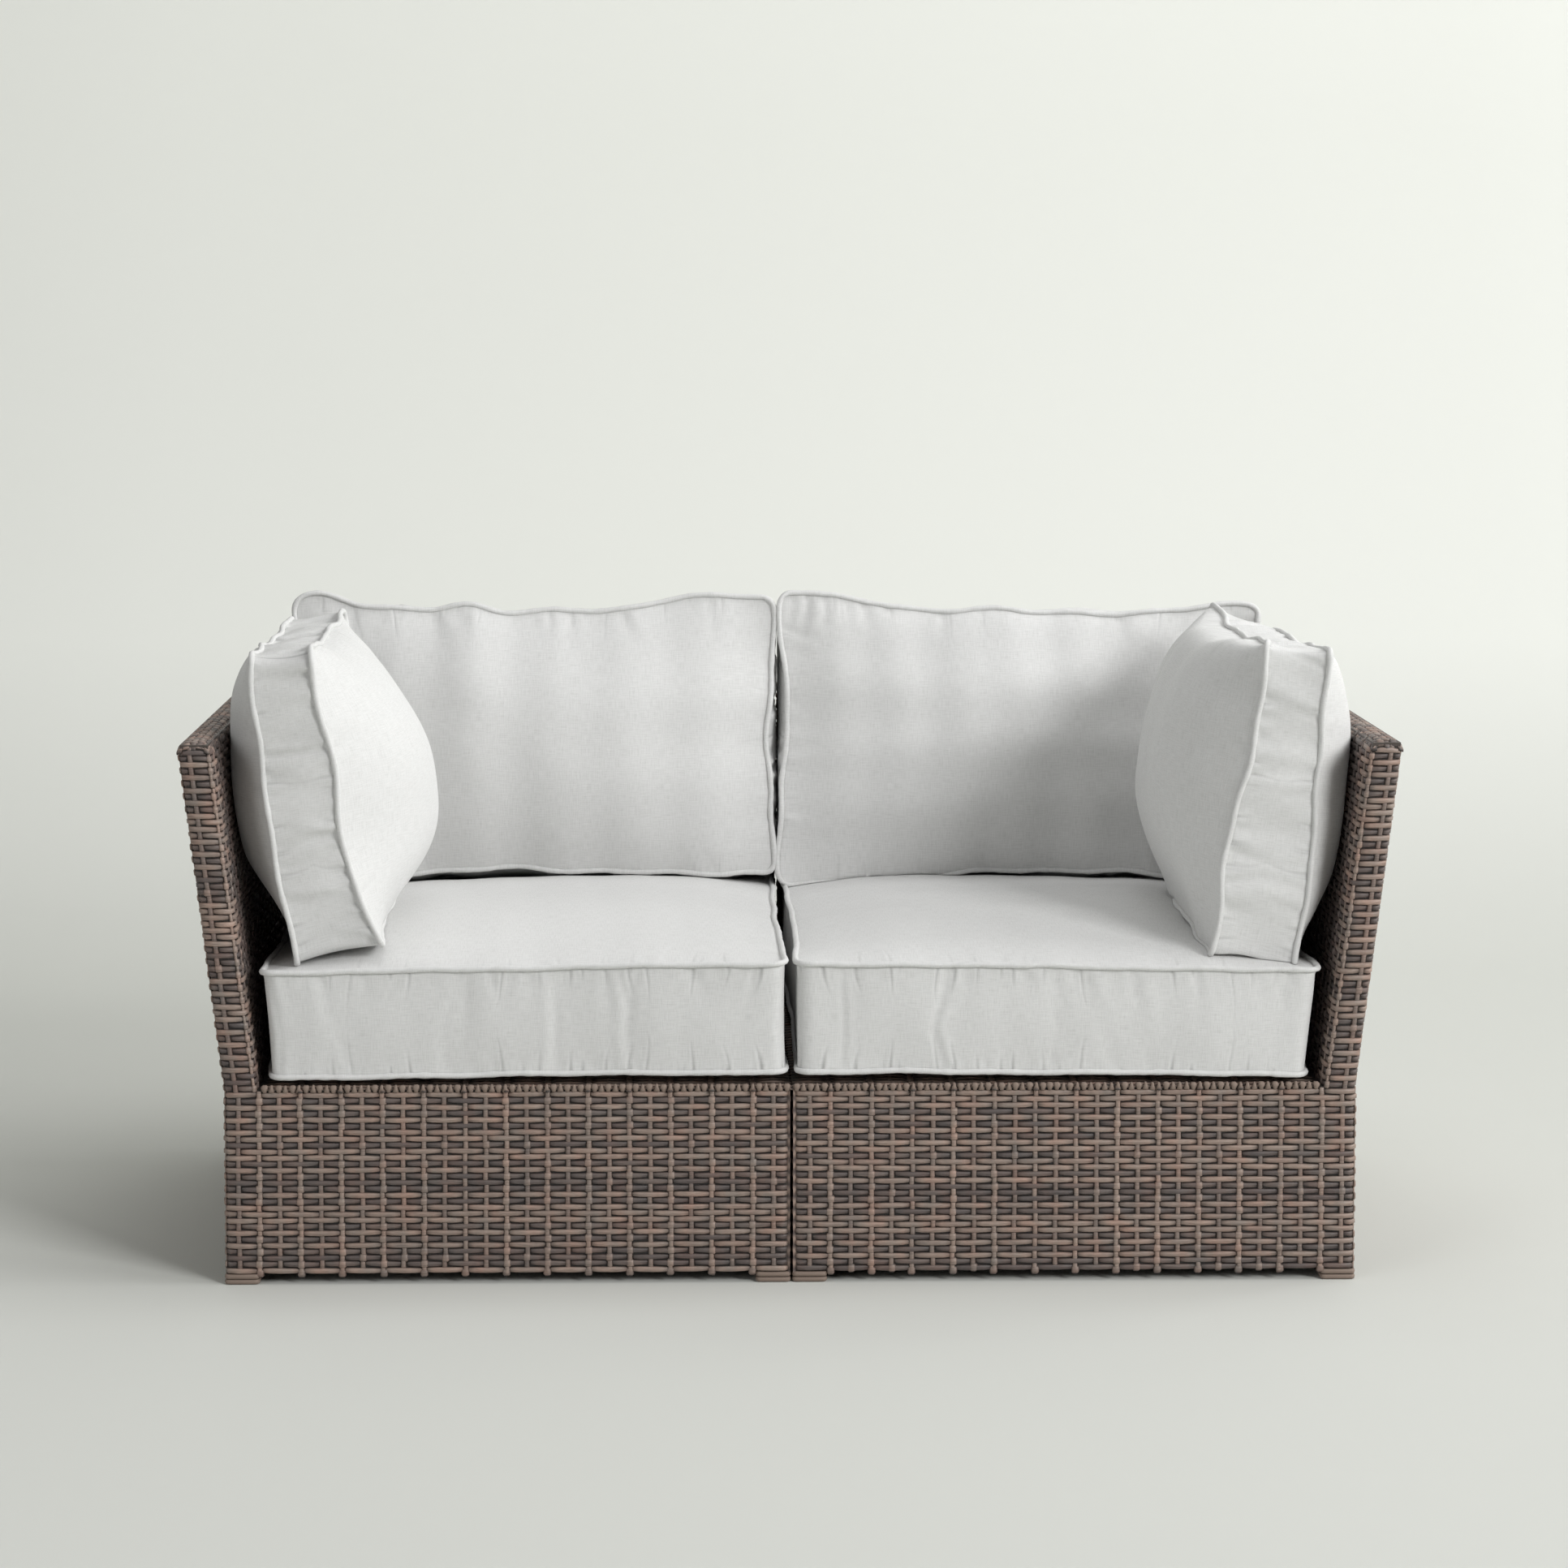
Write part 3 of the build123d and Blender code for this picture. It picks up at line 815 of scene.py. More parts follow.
class Strands:
    """The four strand pieces and the tree that lays them, made once for all sheets."""

    def __init__(self, weave, pitch, row_pitch, material):
        self.weave = weave
        self.pitch = pitch
        self.row_pitch = row_pitch
        bar_cuts = (-1, -0.84, -0.58, 0, 0.58, 0.84, 1)
        short_cuts = (-1, -0.5, 0.5, 1)
        thickness, crest, dive = weave.strand_thickness, weave.crest, weave.dive
        self.bar = strand_piece(
            "bar", 1.90 * pitch, weave.strand_width, thickness, crest, dive, bar_cuts, 0.24)
        self.stake = strand_piece(
            "stake", 2.1 * row_pitch, weave.stake_width, thickness, crest * 0.35, dive * 0.7,
            short_cuts)
        self.knot = strand_piece(
            "knot", 1.42 * row_pitch, weave.knot_width, thickness, crest, dive * 0.8,
            short_cuts, 0.30)
        self.bead = strand_piece(
            "bead", 1.42 * pitch / 3, weave.knot_width * 0.8, thickness, crest * 0.8, dive * 0.8,
            short_cuts, 0.30)
        for upright in (self.stake, self.knot):
            along, beside, out = mesh_points(upright.data).T
            turned = np.column_stack((-beside, along, out))
            upright.data.vertices.foreach_set("co", turned.ravel())
        self.tree = weaving_tree(material)

    def flat_sheet(self, name, crossings, seed, pitch):
        """A flat sheet of strands as a plain mesh."""
        cells, kinds, shades = crossings
        mesh = bpy.data.meshes.new(name)
        mesh.from_pydata(cells, [], [])
        mesh.attributes.new("kind", "INT", "POINT").data.foreach_set("value", kinds)
        mesh.attributes.new("tone", "FLOAT", "POINT").data.foreach_set("value", shades)
        carrier = new_object(name, mesh)
        modifier = carrier.modifiers.new("weave", "NODES")
        modifier.node_group = self.tree
        set_inputs(modifier, {
            "Stake Pitch": pitch, "Row Pitch": self.row_pitch,
            "Jitter": self.weave.jitter, "Seed": seed,
            "Bar": self.bar, "Stake": self.stake, "Knot": self.knot, "Bead": self.bead})
        graph = bpy.context.evaluated_depsgraph_get()
        woven = bpy.data.meshes.new_from_object(carrier.evaluated_get(graph))
        carrier.modifiers.clear()
        remove_object(carrier)
        woven.name = name
        return woven

    def discard(self):
        """Deletes the helper objects once every sheet is made."""
        for helper in (self.bar, self.stake, self.knot, self.bead):
            remove_object(helper)


class Wall:
    """An upright skin that follows corners seen from above, each of which may lean outwards.

    u runs along the path, z is the height and depth points out of the skin.
    """

    def __init__(self, corners, leans, start):
        self.corners = np.array(corners, float)
        self.leans = np.array(leans, float)
        steps = np.linalg.norm(np.diff(self.corners, axis=0), axis=1)
        self.stations = start + np.concatenate(([0.0], np.cumsum(steps)))
        ways = np.diff(self.corners, axis=0) / steps[:, None]
        self.normals = np.column_stack((ways[:, 1], -ways[:, 0]))

    def straight(self, u, shift):
        """The point at u and the number of its segment, without rounding."""
        part = np.searchsorted(self.stations, u, side="right") - 1
        part = np.clip(part, 0, len(self.normals) - 1)
        span = self.stations[part + 1] - self.stations[part]
        share = ((u - self.stations[part]) / span)[:, None]
        first = self.corners[part] + self.leans[part] * shift[:, None]
        second = self.corners[part + 1] + self.leans[part + 1] * shift[:, None]
        return first + (second - first) * share, part

    def wrap(self, u, z, depth):
        """Where points of a flat sheet lie on the wall."""
        shift = OVERHANG * np.maximum(z - BASE_TOP, 0) / (PANEL_TOP - BASE_TOP)
        place, part = self.straight(u, shift)
        normal = self.normals[part].copy()
        for number in range(1, len(self.stations) - 1):
            corner = self.stations[number]
            near = np.abs(u - corner) < CORNER_RADIUS
            if not near.any():
                continue
            t = ((u[near] - corner) / CORNER_RADIUS + 1)[:, None] / 2
            ones = np.ones(near.sum())
            before, _ = self.straight(ones * (corner - CORNER_RADIUS), shift[near])
            after, _ = self.straight(ones * (corner + CORNER_RADIUS), shift[near])
            point = self.corners[number] + self.leans[number] * shift[near][:, None]
            place[near] = (1 - t) ** 2 * before + 2 * t * (1 - t) * point + t ** 2 * after
            bent = (1 - t) * self.normals[number - 1] + t * self.normals[number]
            normal[near] = bent / np.linalg.norm(bent, axis=1)[:, None]
        place = place + normal * depth[:, None]
        return np.column_stack((place, z))


def base_wall():
    """The path round the base, continued a little on to the inner side at both ends."""
    tail = 0.045
    corners = [
        (INNER_X, FRONT_Y + tail), (INNER_X, FRONT_Y), (OUTER_X, FRONT_Y),
        (OUTER_X, REAR_Y), (INNER_X, REAR_Y), (INNER_X, REAR_Y - tail)]
    return Wall(corners, [(0, 0)] * len(corners), -tail)


def panel_wall():
    """The closed path round both panels, which starts half-way along the arm's inner face."""
    inner_corner = (OUTER_X - WALL, REAR_Y - WALL)
    reach = SIDE - WALL
    corners = [
        inner_corner, (OUTER_X - WALL, FRONT_Y), (OUTER_X, FRONT_Y), (OUTER_X, REAR_Y),
        (INNER_X, REAR_Y), (INNER_X, REAR_Y - WALL), inner_corner]
    leans = [(1, 1), (1, 0), (1, 0), (1, 1), (0, 1), (0, 1), (1, 1)]
    tail_in = (INNER_X + reach / 2, REAR_Y - WALL)
    tail_out = (OUTER_X - WALL, REAR_Y - WALL - reach / 2)
    return Wall(
        [tail_in, *corners, tail_out], [(0.5, 1), *leans, (1, 0.5)], -reach / 2)


def wrap_top(u, across, depth):
    """The top of both panels: u runs from the arm's front round the corner to the inner end."""
    half = WALL / 2
    length = top_length() / 2
    near_x, far_x = OUTER_X - WALL + OVERHANG, OUTER_X + OVERHANG
    near_y, far_y = REAR_Y - WALL + OVERHANG, REAR_Y + OVERHANG
    inner = np.array([(near_x, FRONT_Y), (near_x, near_y), (INNER_X, near_y)])
    outer = np.array([(far_x, FRONT_Y), (far_x, far_y), (INNER_X, far_y)])
    over = np.abs(u - np.clip(u, 0, 2 * length)) + np.maximum(np.abs(across) - half, 0)
    u, across = np.clip(u, 0, 2 * length), np.clip(across, -half, half)
    share = u / length
    part = np.minimum(share.astype(int), 1)
    local = (share - part)[:, None]
    near = inner[part] + (inner[part + 1] - inner[part]) * local
    far = outer[part] + (outer[part + 1] - outer[part]) * local
    side = ((across + half) / WALL)[:, None]
    place = near + (far - near) * side
    beside = np.maximum(TOP_ROLL - half + np.abs(across), 0)
    ahead = np.maximum(TOP_ROLL - np.minimum(u, 2 * length - u), 0)
    drop = (np.maximum(beside, ahead) ** 2 + 0.6 * np.minimum(beside, ahead) ** 2) / (
        2 * TOP_ROLL) + over
    return np.column_stack((place, PANEL_TOP - 0.0008 + depth - drop))


def top_length():
    """Length of the middle line along the top of both panels."""
    return 2 * (SIDE + OVERHANG - WALL / 2)


def set_points(mesh, places, side):
    """Writes vertices back, mirrored for the left-hand module."""
    placed = places * (side, 1, 1)
    mesh.vertices.foreach_set("co", placed.ravel())
    if side < 0:
        mesh.flip_normals()
    mesh.update()


def rectangle(left, low, right, high):
    """The corners of a rectangle on a map."""
    return [(left, low), (right, low), (right, high), (left, high)]


def backing(name, wrap, u_range, v_range, u_step, side, material, shelf=BACKING_SHELF):
    """A thin closed dark band of painted shade behind the strands, so that nothing shows through
    the gaps.
    """
    count = max(2, int(round((u_range[1] - u_range[0]) / u_step)) + 1)
    us = np.linspace(*u_range, count)
    verts = []
    for depth in BACKING_DEPTHS:
        for v in v_range:
            ones = np.ones(count)
            verts.append(wrap(us, ones * v, ones * depth))
    points = np.concatenate(verts)
    faces = []
    front_low, front_high, rear_low, rear_high = (count * ring for ring in range(4))
    loops = (front_low, front_high, rear_high, rear_low)
    spots = []
    for step in range(count - 1):
        left, right = (0.50 + 0.44 * edge / count for edge in (step, step + 1))
        for strip, (here, there) in enumerate(zip(loops, loops[1:] + loops[:1])):
            faces.append((here + step, here + step + 1, there + step + 1, there + step))
            low = shelf + 0.022 * strip
            spots += rectangle(left, low, right, low + 0.018)
    faces.append(loops)
    faces.append(tuple(ring + count - 1 for ring in reversed(loops)))
    for left in (0.95, 0.97):
        spots += rectangle(left, shelf, left + 0.01, shelf + 0.01)
    mesh = bpy.data.meshes.new(name)
    mesh.from_pydata((points * (side, 1, 1)).tolist(), [], faces)
    mesh.uv_layers.new(name="OFBake").data.foreach_set("uv", np.ravel(spots))
    # A zero tone and rise give the band the darkest colour, as painted shade
    mesh.attributes.new("tone", "FLOAT", "POINT")
    mesh.attributes.new("rise", "FLOAT", "POINT")
    turn_outwards(mesh)
    mesh.materials.append(material)
    return new_object(name, mesh)


def bake_map(mesh, u, v, shelf):
    """A flat map of a woven sheet for baking.

    Lying and upright strands and the sheet's rear each have a place of their own on it, and
    so has a second sheet of the same piece, on shelf 1.
    """
    layer = mesh.uv_layers.new(name="OFBake")
    corners = np.empty(len(mesh.loops), dtype=np.int32)
    mesh.loops.foreach_get("vertex_index", corners)
    span = max(np.ptp(u), np.ptp(v) / SHEET_HEIGHT, 1e-6)
    flat = np.column_stack(((u - u.min()) / span, (v - v.min()) / span))[corners]
    kinds = np.empty(len(mesh.vertices), dtype=np.int32)
    mesh.attributes["kind"].data.foreach_get("value", kinds)
    upright = np.isin(kinds, (STAKE, KNOT))[corners]
    normals = np.empty(len(mesh.polygons) * 3)
    mesh.polygons.foreach_get("normal", normals)
    sizes = np.empty(len(mesh.polygons), dtype=np.int32)
    mesh.polygons.foreach_get("loop_total", sizes)
    rear = np.repeat(normals[2::3] < -0.3, sizes)
    flat[upright, 1] += UPRIGHT_LIFTS[shelf]
    flat[:, 1] += SHELF_LIFT * shelf
    flat[rear] = flat[rear] * REAR_SCALE + (0.0, REAR_LIFTS[shelf])
    flat[rear & upright, 0] += 0.16
    layer.data.foreach_set("uv", flat.ravel())


def join(name, parts):
    """Joins mesh objects into one and names it."""
    with bpy.context.temp_override(
        active_object=parts[0], object=parts[0], selected_objects=parts,
        selected_editable_objects=parts
    ):
        bpy.ops.object.join()
    parts[0].name = name
    parts[0].data.name = name
    return parts[0]


def laid_sheet(name, strands, crossings, seed, wrap, side, material, pitch=None,
               phase=BASE_PHASE, shelf=0):
    """A sheet of strands wrapped on its surface, as an object."""
    pitch = pitch or strands.pitch
    mesh = strands.flat_sheet(name, crossings, seed, pitch)
    flat = mesh_points(mesh)
    u = flat[:, 0] + phase * pitch
    bake_map(mesh, u, flat[:, 1], shelf)
    set_points(mesh, wrap(u, flat[:, 1], flat[:, 2]), side)
    if not mesh.materials:
        mesh.materials.append(material)
    return new_object(name, mesh)


def row_height(strands, v, foot, top):
    """Height above the ground of a place on the rows, which end at the foot and the top."""
    low = v + strands.row_pitch / 2
    share = (PANEL_TOP - ROW_END) / (PANEL_ROWS * strands.row_pitch)
    height = ROW_FOOT + low
    height = np.where(height > ROW_END, ROW_END + (height - ROW_END) * share, height)
    return np.clip(height, foot, top)


def settle(piece, body, slot, *nodes):
    """Hangs a finished piece on the body that it rides on, and hides the nodes that it stands for.
    Its slot, for a finish, is not used.
    """
    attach(piece, body)
    if nodes:
        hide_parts(*nodes)


class LOVESEAT_OT_wicker(bpy.types.Operator):
    """Weave the base, the panels, their tops and the deck of both modules"""

    bl_idname = "loveseat.wicker"
    bl_label = "Weave the skins"

    def execute(self, context):
        weave = context.scene.loveseat_weave
        self.recess = weave.recess
        self.material = wicker_material(weave)
        pitch = SIDE / COLUMNS_PER_SIDE
        row_pitch = (ROW_END - ROW_FOOT) / BASE_ROWS
        strands = Strands(weave, pitch, row_pitch, self.material)
        for number, (name, side) in enumerate(SIDES):
            seed = weave.seed + 100 * number
            self.base(name, side, strands, seed)
            self.panels(name, side, strands, seed + 10)
            self.deck(name, side, strands, seed + 20)
        strands.discard()
        return {"FINISHED"}

    def base(self, name, side, strands, seed):
        """Three walls of the base in one sheet."""
        wall = base_wall()
        # On the right-hand module the same rhythm starts two rows further down
        rhythm = ROW_RHYTHM if side < 0 else "LL" + ROW_RHYTHM[:-2]
        tones, dark = rhythm_tones(
            BASE_ROWS, seed, lambda row, rng: rhythm[BASE_ROWS - 1 - row] == "D")
        columns = range(-1, int(3 * COLUMNS_PER_SIDE) + 1)

        def wrap(u, v, depth):
            height = row_height(strands, v, ROW_FOOT - 0.0075, ROW_END + 0.0012)
            return wall.wrap(u, height, depth)

        cells, kinds, shades = weave_points(columns, 0, tones, dark, seed, self.recess)
        # A last knot at the foot of every second stake
        for column in columns:
            if column % 2:
                cells.append((column, -0.42, -self.recess))
                kinds.append(KNOT)
                shades.append(0.50)
        sheet = laid_sheet(
            f"{name}_base_wicker", strands, (cells, kinds, shades), seed, wrap, side,
            self.material)
        back = backing(
            "backing", wall.wrap, (-0.04, 3 * SIDE + 0.04), (ROW_FOOT + 0.002, BASE_TOP),
            BACKING_STEP, side, self.material)
        piece = join(f"{name}_base_wicker", [sheet, back])
        settle(
            piece, "frame", "wicker", f"{name}_base_front_weave", f"{name}_base_outer_weave",
            f"{name}_base_rear_weave")

    def panels(self, name, side, strands, seed):
        """The arm and back panels, each with its two faces, its end and its half of the top."""
        wall = panel_wall()
        tones, dark = rhythm_tones(
            PANEL_ROWS, seed,
            lambda row, rng: (row % 2 == 0) != (rng.uniform() < 0.16))
        middle, end = int(2 * COLUMNS_PER_SIDE), int(4 * COLUMNS_PER_SIDE)
        fine = strands.pitch / 3
        length = top_length()
        top_columns = int(length / fine)

        def wrap(u, v, depth):
            # The rows roll inwards under the top, and sink a little at the panels' free ends
            height = row_height(strands, v, ROW_END - 0.004, PANEL_TOP - 0.0034)
            rolled = np.maximum(height - PANEL_TOP + TOP_ROLL, 0) ** 2 / (2 * TOP_ROLL)
            ends = np.abs(u[:, None] - wall.stations[[2, 3, 5, 6]]).min(axis=1)
            high = np.clip((height - PANEL_TOP) / 0.030 + 1, 0, 1) ** 2
            sunk = TOP_ROLL * 0.32 * np.exp(-(ends / 0.012) ** 2) * high
            return wall.wrap(u, height - sunk, depth - rolled)

        def lay_top(u, v, depth):
            row_span = WALL / TOP_ROWS
            across = (v / strands.row_pitch + 0.5) * row_span - WALL / 2
            return wrap_top(u, across, depth)

        inner = int((SIDE - WALL) / strands.pitch)
        # The columns on both panels' inner faces, whose strands get painted shade
        painted_shade_columns = {*range(0, inner - 1), *range(end - inner, end)}
        for half, first, last in (("arm", 0, middle), ("back", middle, end)):
            crossings = weave_points(
                range(first, last), BASE_ROWS, tones, dark, seed + first, self.recess, painted_shade_columns)
            sheet = laid_sheet(
                f"{name}_{half}_wicker", strands, crossings, seed, wrap, side, self.material,
                phase=PANEL_PHASE)
            u_range = (first * strands.pitch, last * strands.pitch)
            back = backing(
                "backing", wall.wrap, u_range, (BASE_TOP, PANEL_TOP - 0.0095), BACKING_STEP,
                side, self.material)
            if half == "arm":
                top_range, ends = range(0, top_columns // 2), (0.003, length / 2)
            else:
                top_range, ends = range(top_columns // 2, top_columns), (length / 2, length - 0.003)
            top_points = self.close_weave(top_range, seed + 3)
            top = laid_sheet(
                "top", strands, top_points, seed, lay_top, side, self.material, fine, shelf=1)
            lid = backing(
                "lid", wrap_top, ends, (0.003 - WALL / 2, WALL / 2 - 0.003), BACKING_STEP,
                side, self.material, LID_SHELF)
            piece = join(f"{name}_{half}_wicker", [sheet, back, top, lid])
            settle(piece, "frame", "wicker", f"{name}_{half}_weave")

    @staticmethod
    def close_weave(columns, seed):
        """Short strands set close, every second one across, as the panels' tops are bound."""
        rng = np.random.default_rng(seed)
        light_chances = (0.34, 0.56)
        cells, kinds, shades = [], [], []
        for column, row in product(columns, range(TOP_ROWS)):
            across = (column + row) % 2
            cells.append((column, row, rng.uniform(-0.0006, 0.0003)))
            kinds.append(KNOT if across else BEAD)
            light = rng.uniform() < light_chances[across]
            shades.append(rng.uniform(0.55, 0.95) if light else rng.uniform(0.0, 0.3))
        return cells, kinds, shades

    def deck(self, name, side, strands, seed):
        """The woven deck under the seat cushion."""
        span = SIDE - WALL
        rows = int(span / strands.row_pitch)
        columns = int(span / strands.pitch)
        tones, dark = rhythm_tones(rows, seed, lambda row, rng: row % 2 == 1)

        def wrap(u, v, depth):
            return np.column_stack((
                INNER_X + u, FRONT_Y + v + strands.row_pitch / 2,
                DECK_TOP - 0.0016 + depth * 0.9))

        crossings = weave_points(range(0, columns), 0, tones, dark, seed, self.recess)
        sheet = laid_sheet(
            f"{name}_deck_wicker", strands, crossings, seed, wrap, side, self.material)

        def sheet_back(u, v, depth):
            return np.column_stack((INNER_X + u, FRONT_Y + v, DECK_TOP + depth))

        back = backing(
            "backing", sheet_back, (0.001, span), (0.001, span), span, side, self.material)
        piece = join(f"{name}_deck_wicker", [sheet, back])
        settle(piece, "frame", "wicker", f"{name}_deck_weave")


class LOVESEAT_OT_edges(bpy.types.Operator):
    """Bind the front edge of each deck and wrap the feet with strand"""

    bl_idname = "loveseat.edges"
    bl_label = "Bind the edges and feet"

    def execute(self, context):
        material = bpy.data.materials["wicker"]
        rng = np.random.default_rng(context.scene.loveseat_weave.seed)
        for name, side in SIDES:
            self.border(name, side, rng, material)
        self.feet(rng, material)
        return {"FINISHED"}

    @staticmethod
    def border(name, side, rng, material):
        """Short wraps side by side, from the front wall over the deck's edge."""
        pitch = SIDE / COLUMNS_PER_SIDE / 3
        count = int((SIDE - WALL) / pitch)
        light_chances = (0.10, 0.93)
        profile = (
            (0.0016, -0.0062), (-0.0014, -0.0054), (-0.0026, -0.0022), (-0.0026, 0.0016),
            (-0.0008, 0.0036), (0.0024, 0.0040), (0.0058, 0.0018), (0.0094, -0.0018))
        light_widths = (0.96, 0.96, 0.80, 0.56, 0.50, 0.50, 0.50, 0.50)
        dark_widths = (0.50, 0.56, 0.78, 1.10, 1.06, 1.00, 1.00, 1.00)
        verts, faces, tones, rises = [], [], [], []
        for number in range(count):
            middle = INNER_X + (number + 0.5) * pitch + rng.uniform(-0.0004, 0.0004)
            light = rng.uniform() < light_chances[number % 2]
            tone = rng.uniform(0.60, 0.95) if light else rng.uniform(0.0, 0.10)
            base = len(verts)
            lift = rng.uniform(-0.0005, 0.0005)
            for step, (back, up) in enumerate(profile):
                width = pitch * (light_widths if light else dark_widths)[step]
                for share, sink in ((-0.5, 0.0020), (-0.26, 0), (0.26, 0), (0.5, 0.0020)):
                    out = sink if step < 4 else 0
                    down = sink if step >= 3 else 0
                    verts.append((
                        side * (middle + share * width), FRONT_Y + back + out - lift,
                        DECK_TOP + up - down + lift))
                    # The rise is lower on a wrap's sides and ends, which darkens them as painted
                    # shade in the wicker material
                    rises.append((0.5 if sink else 1.0) * (0.35 if step in (0, 7) else 1.0))
                    tones.append(tone)
            faces += tube_faces(base, 4, len(profile))
        piece = strand_object(f"{name}_deck_border", verts, faces, tones, rises, material)
        settle(piece, "frame", "wicker")

    @staticmethod
    def feet(rng, material):
        """Two turns of strand round the end of each post."""
        half = TUBE / 2 + SKIN + 0.0006
        inset = SKIN + TUBE / 2
        xs = (INNER_X + inset, OUTER_X - inset)
        ys = (FRONT_Y + inset, REAR_Y - inset)
        verts, faces, tones, rises = [], [], [], []
        turns = ((0.0102, 0.0070, 0.10), (0.0035, 0.0068, 0.80))
        section = ((-0.0022, -0.5), (0.0, -0.34), (0.0006, 0), (0.0, 0.34), (-0.0022, 0.5))
        corner = 0.005
        reach = half - corner
        ring = []
        for quarter, (way_x, way_y) in enumerate(((1, 1), (-1, 1), (-1, -1), (1, -1))):
            for step in range(4):
                angle = math.pi / 2 * (quarter + step / 3)
                ring.append((reach * way_x, reach * way_y, math.cos(angle), math.sin(angle)))
        for side, x, y, (height, tall, tone) in product((-1, 1), xs, ys, turns):
            base = len(verts)
            shade = tone + rng.uniform(-0.1, 0.1)
            for (to_x, to_y, cosine, sine), (out, up) in product(ring, section):
                verts.append((
                    side * x + to_x + (corner + out) * cosine,
                    y + to_y + (corner + out) * sine, height + up * tall))
                tones.append(shade)
                # The rise is lower on a turn's upper and lower edges, which darkens them as painted
                # shade in the wicker material
                rises.append(0.35 if abs(up) > 0.4 else 1.0)
            faces += tube_faces(base, len(section), len(ring), closed=True)
        piece = strand_object("foot_wraps", verts, faces, tones, rises, material)
        settle(piece, "frame", "wicker", "leg_wraps")


def strand_object(name, verts, faces, tones, rises, material):
    """A mesh object of strands with its tone and rise."""
    mesh = bpy.data.meshes.new(name)
    mesh.from_pydata(verts, [], faces)
    mesh.attributes.new("tone", "FLOAT", "POINT").data.foreach_set("value", tones)
    mesh.attributes.new("rise", "FLOAT", "POINT").data.foreach_set("value", rises)
    turn_outwards(mesh)
    smooth(mesh)
    mesh.materials.append(material)
    return new_object(name, mesh)


def waves(rng, first, second, length, count=7):
    """Soft random hills of about one length over a plane, between -1 and 1."""
    total = np.zeros_like(first)
    for _ in range(count):
        angle = rng.uniform(0, math.tau)
        step = math.tau / (length * rng.uniform(0.7, 1.5))
        total += np.sin((first * math.cos(angle) + second * math.sin(angle)) * step
                        + rng.uniform(0, math.tau))
    return total / count * 1.6


def wander(rng, along, round_length, lengths):
    """A closed random line along a seam of the given length, between about -1 and 1."""
    total = np.zeros_like(along)
    for length in lengths:
        turns = max(1, round(round_length / length * rng.uniform(0.8, 1.25)))
        total += np.sin(along / round_length * turns * math.tau + rng.uniform(0, math.tau))
    return total / math.sqrt(len(lengths))


def seam_ring(pad, columns, rows):
    """A seam seen along the pad's thickness: points, ways out, and the length run to each.

    It starts at the low left corner and goes round through the low right one.
    """
    half_width, half_height = pad.width / 2, pad.height / 2
    corners = np.array([
        (-half_width, -half_height), (half_width, -half_height), (half_width, half_height),
        (-half_width, half_height)])
    inward = np.array([(0, 1), (-1, 0), (0, -1), (1, 0)])

    def span(number):
        return pad.width if number % 2 == 0 else pad.height

    def on_side(number, share):
        first, second = corners[number % 4], corners[(number + 1) % 4]
        share = np.asarray(share)[:, None]
        sag = pad.draw * (1 - (2 * share - 1) ** 2)
        return first + (second - first) * share + inward[number % 4] * sag

    def rounding(number, t):
        before = on_side(number - 1, [1 - pad.corner / span(number - 1)])
        after = on_side(number, [pad.corner / span(number)])
        t = t[:, None]
        return (1 - t) ** 2 * before + 2 * t * (1 - t) * corners[number % 4] + t ** 2 * after

    points = []
    for number in range(4):
        cut = pad.corner / span(number)
        path = np.concatenate((
            rounding(number, np.linspace(0.5, 1, 12)[:-1]),
            on_side(number, np.linspace(cut, 1 - cut, 200)),
            rounding(number + 1, np.linspace(0, 0.5, 12)[1:])))
        run = np.concatenate(([0], np.cumsum(np.linalg.norm(np.diff(path, axis=0), axis=1))))
        count = columns if number % 2 == 0 else rows
        stops = np.linspace(0, run[-1], count + 1)[:-1]
        points.append(np.column_stack([np.interp(stops, run, path[:, axis]) for axis in (0, 1)]))
    ring = np.concatenate(points)
    ways = np.roll(ring, -1, axis=0) - np.roll(ring, 1, axis=0)
    ways /= np.linalg.norm(ways, axis=1)[:, None]
    steps = np.linalg.norm(np.roll(ring, -1, axis=0) - ring, axis=1)
    run = np.concatenate(([0], np.cumsum(steps)[:-1]))
    return ring, np.column_stack((ways[:, 1], -ways[:, 0])), run, steps.sum()


def fill_ring(ring, columns, rows):
    """A grid of points stretched inside a closed ring, as rows of columns."""
    low = ring[:columns + 1]
    right = ring[columns:columns + rows + 1]
    high = ring[columns + rows:2 * columns + rows + 1][::-1]
    left = np.concatenate((ring[2 * columns + rows:], ring[:1]))[::-1]
    u = np.linspace(0, 1, columns + 1)[None, :, None]
    v = np.linspace(0, 1, rows + 1)[:, None, None]
    grid = (1 - v) * low[None] + v * high[None] + (1 - u) * left[:, None] + u * right[:, None]
    grid -= (1 - u) * (1 - v) * low[0] + u * (1 - v) * low[-1]
    grid -= (1 - u) * v * high[0] + u * v * high[-1]
    return grid


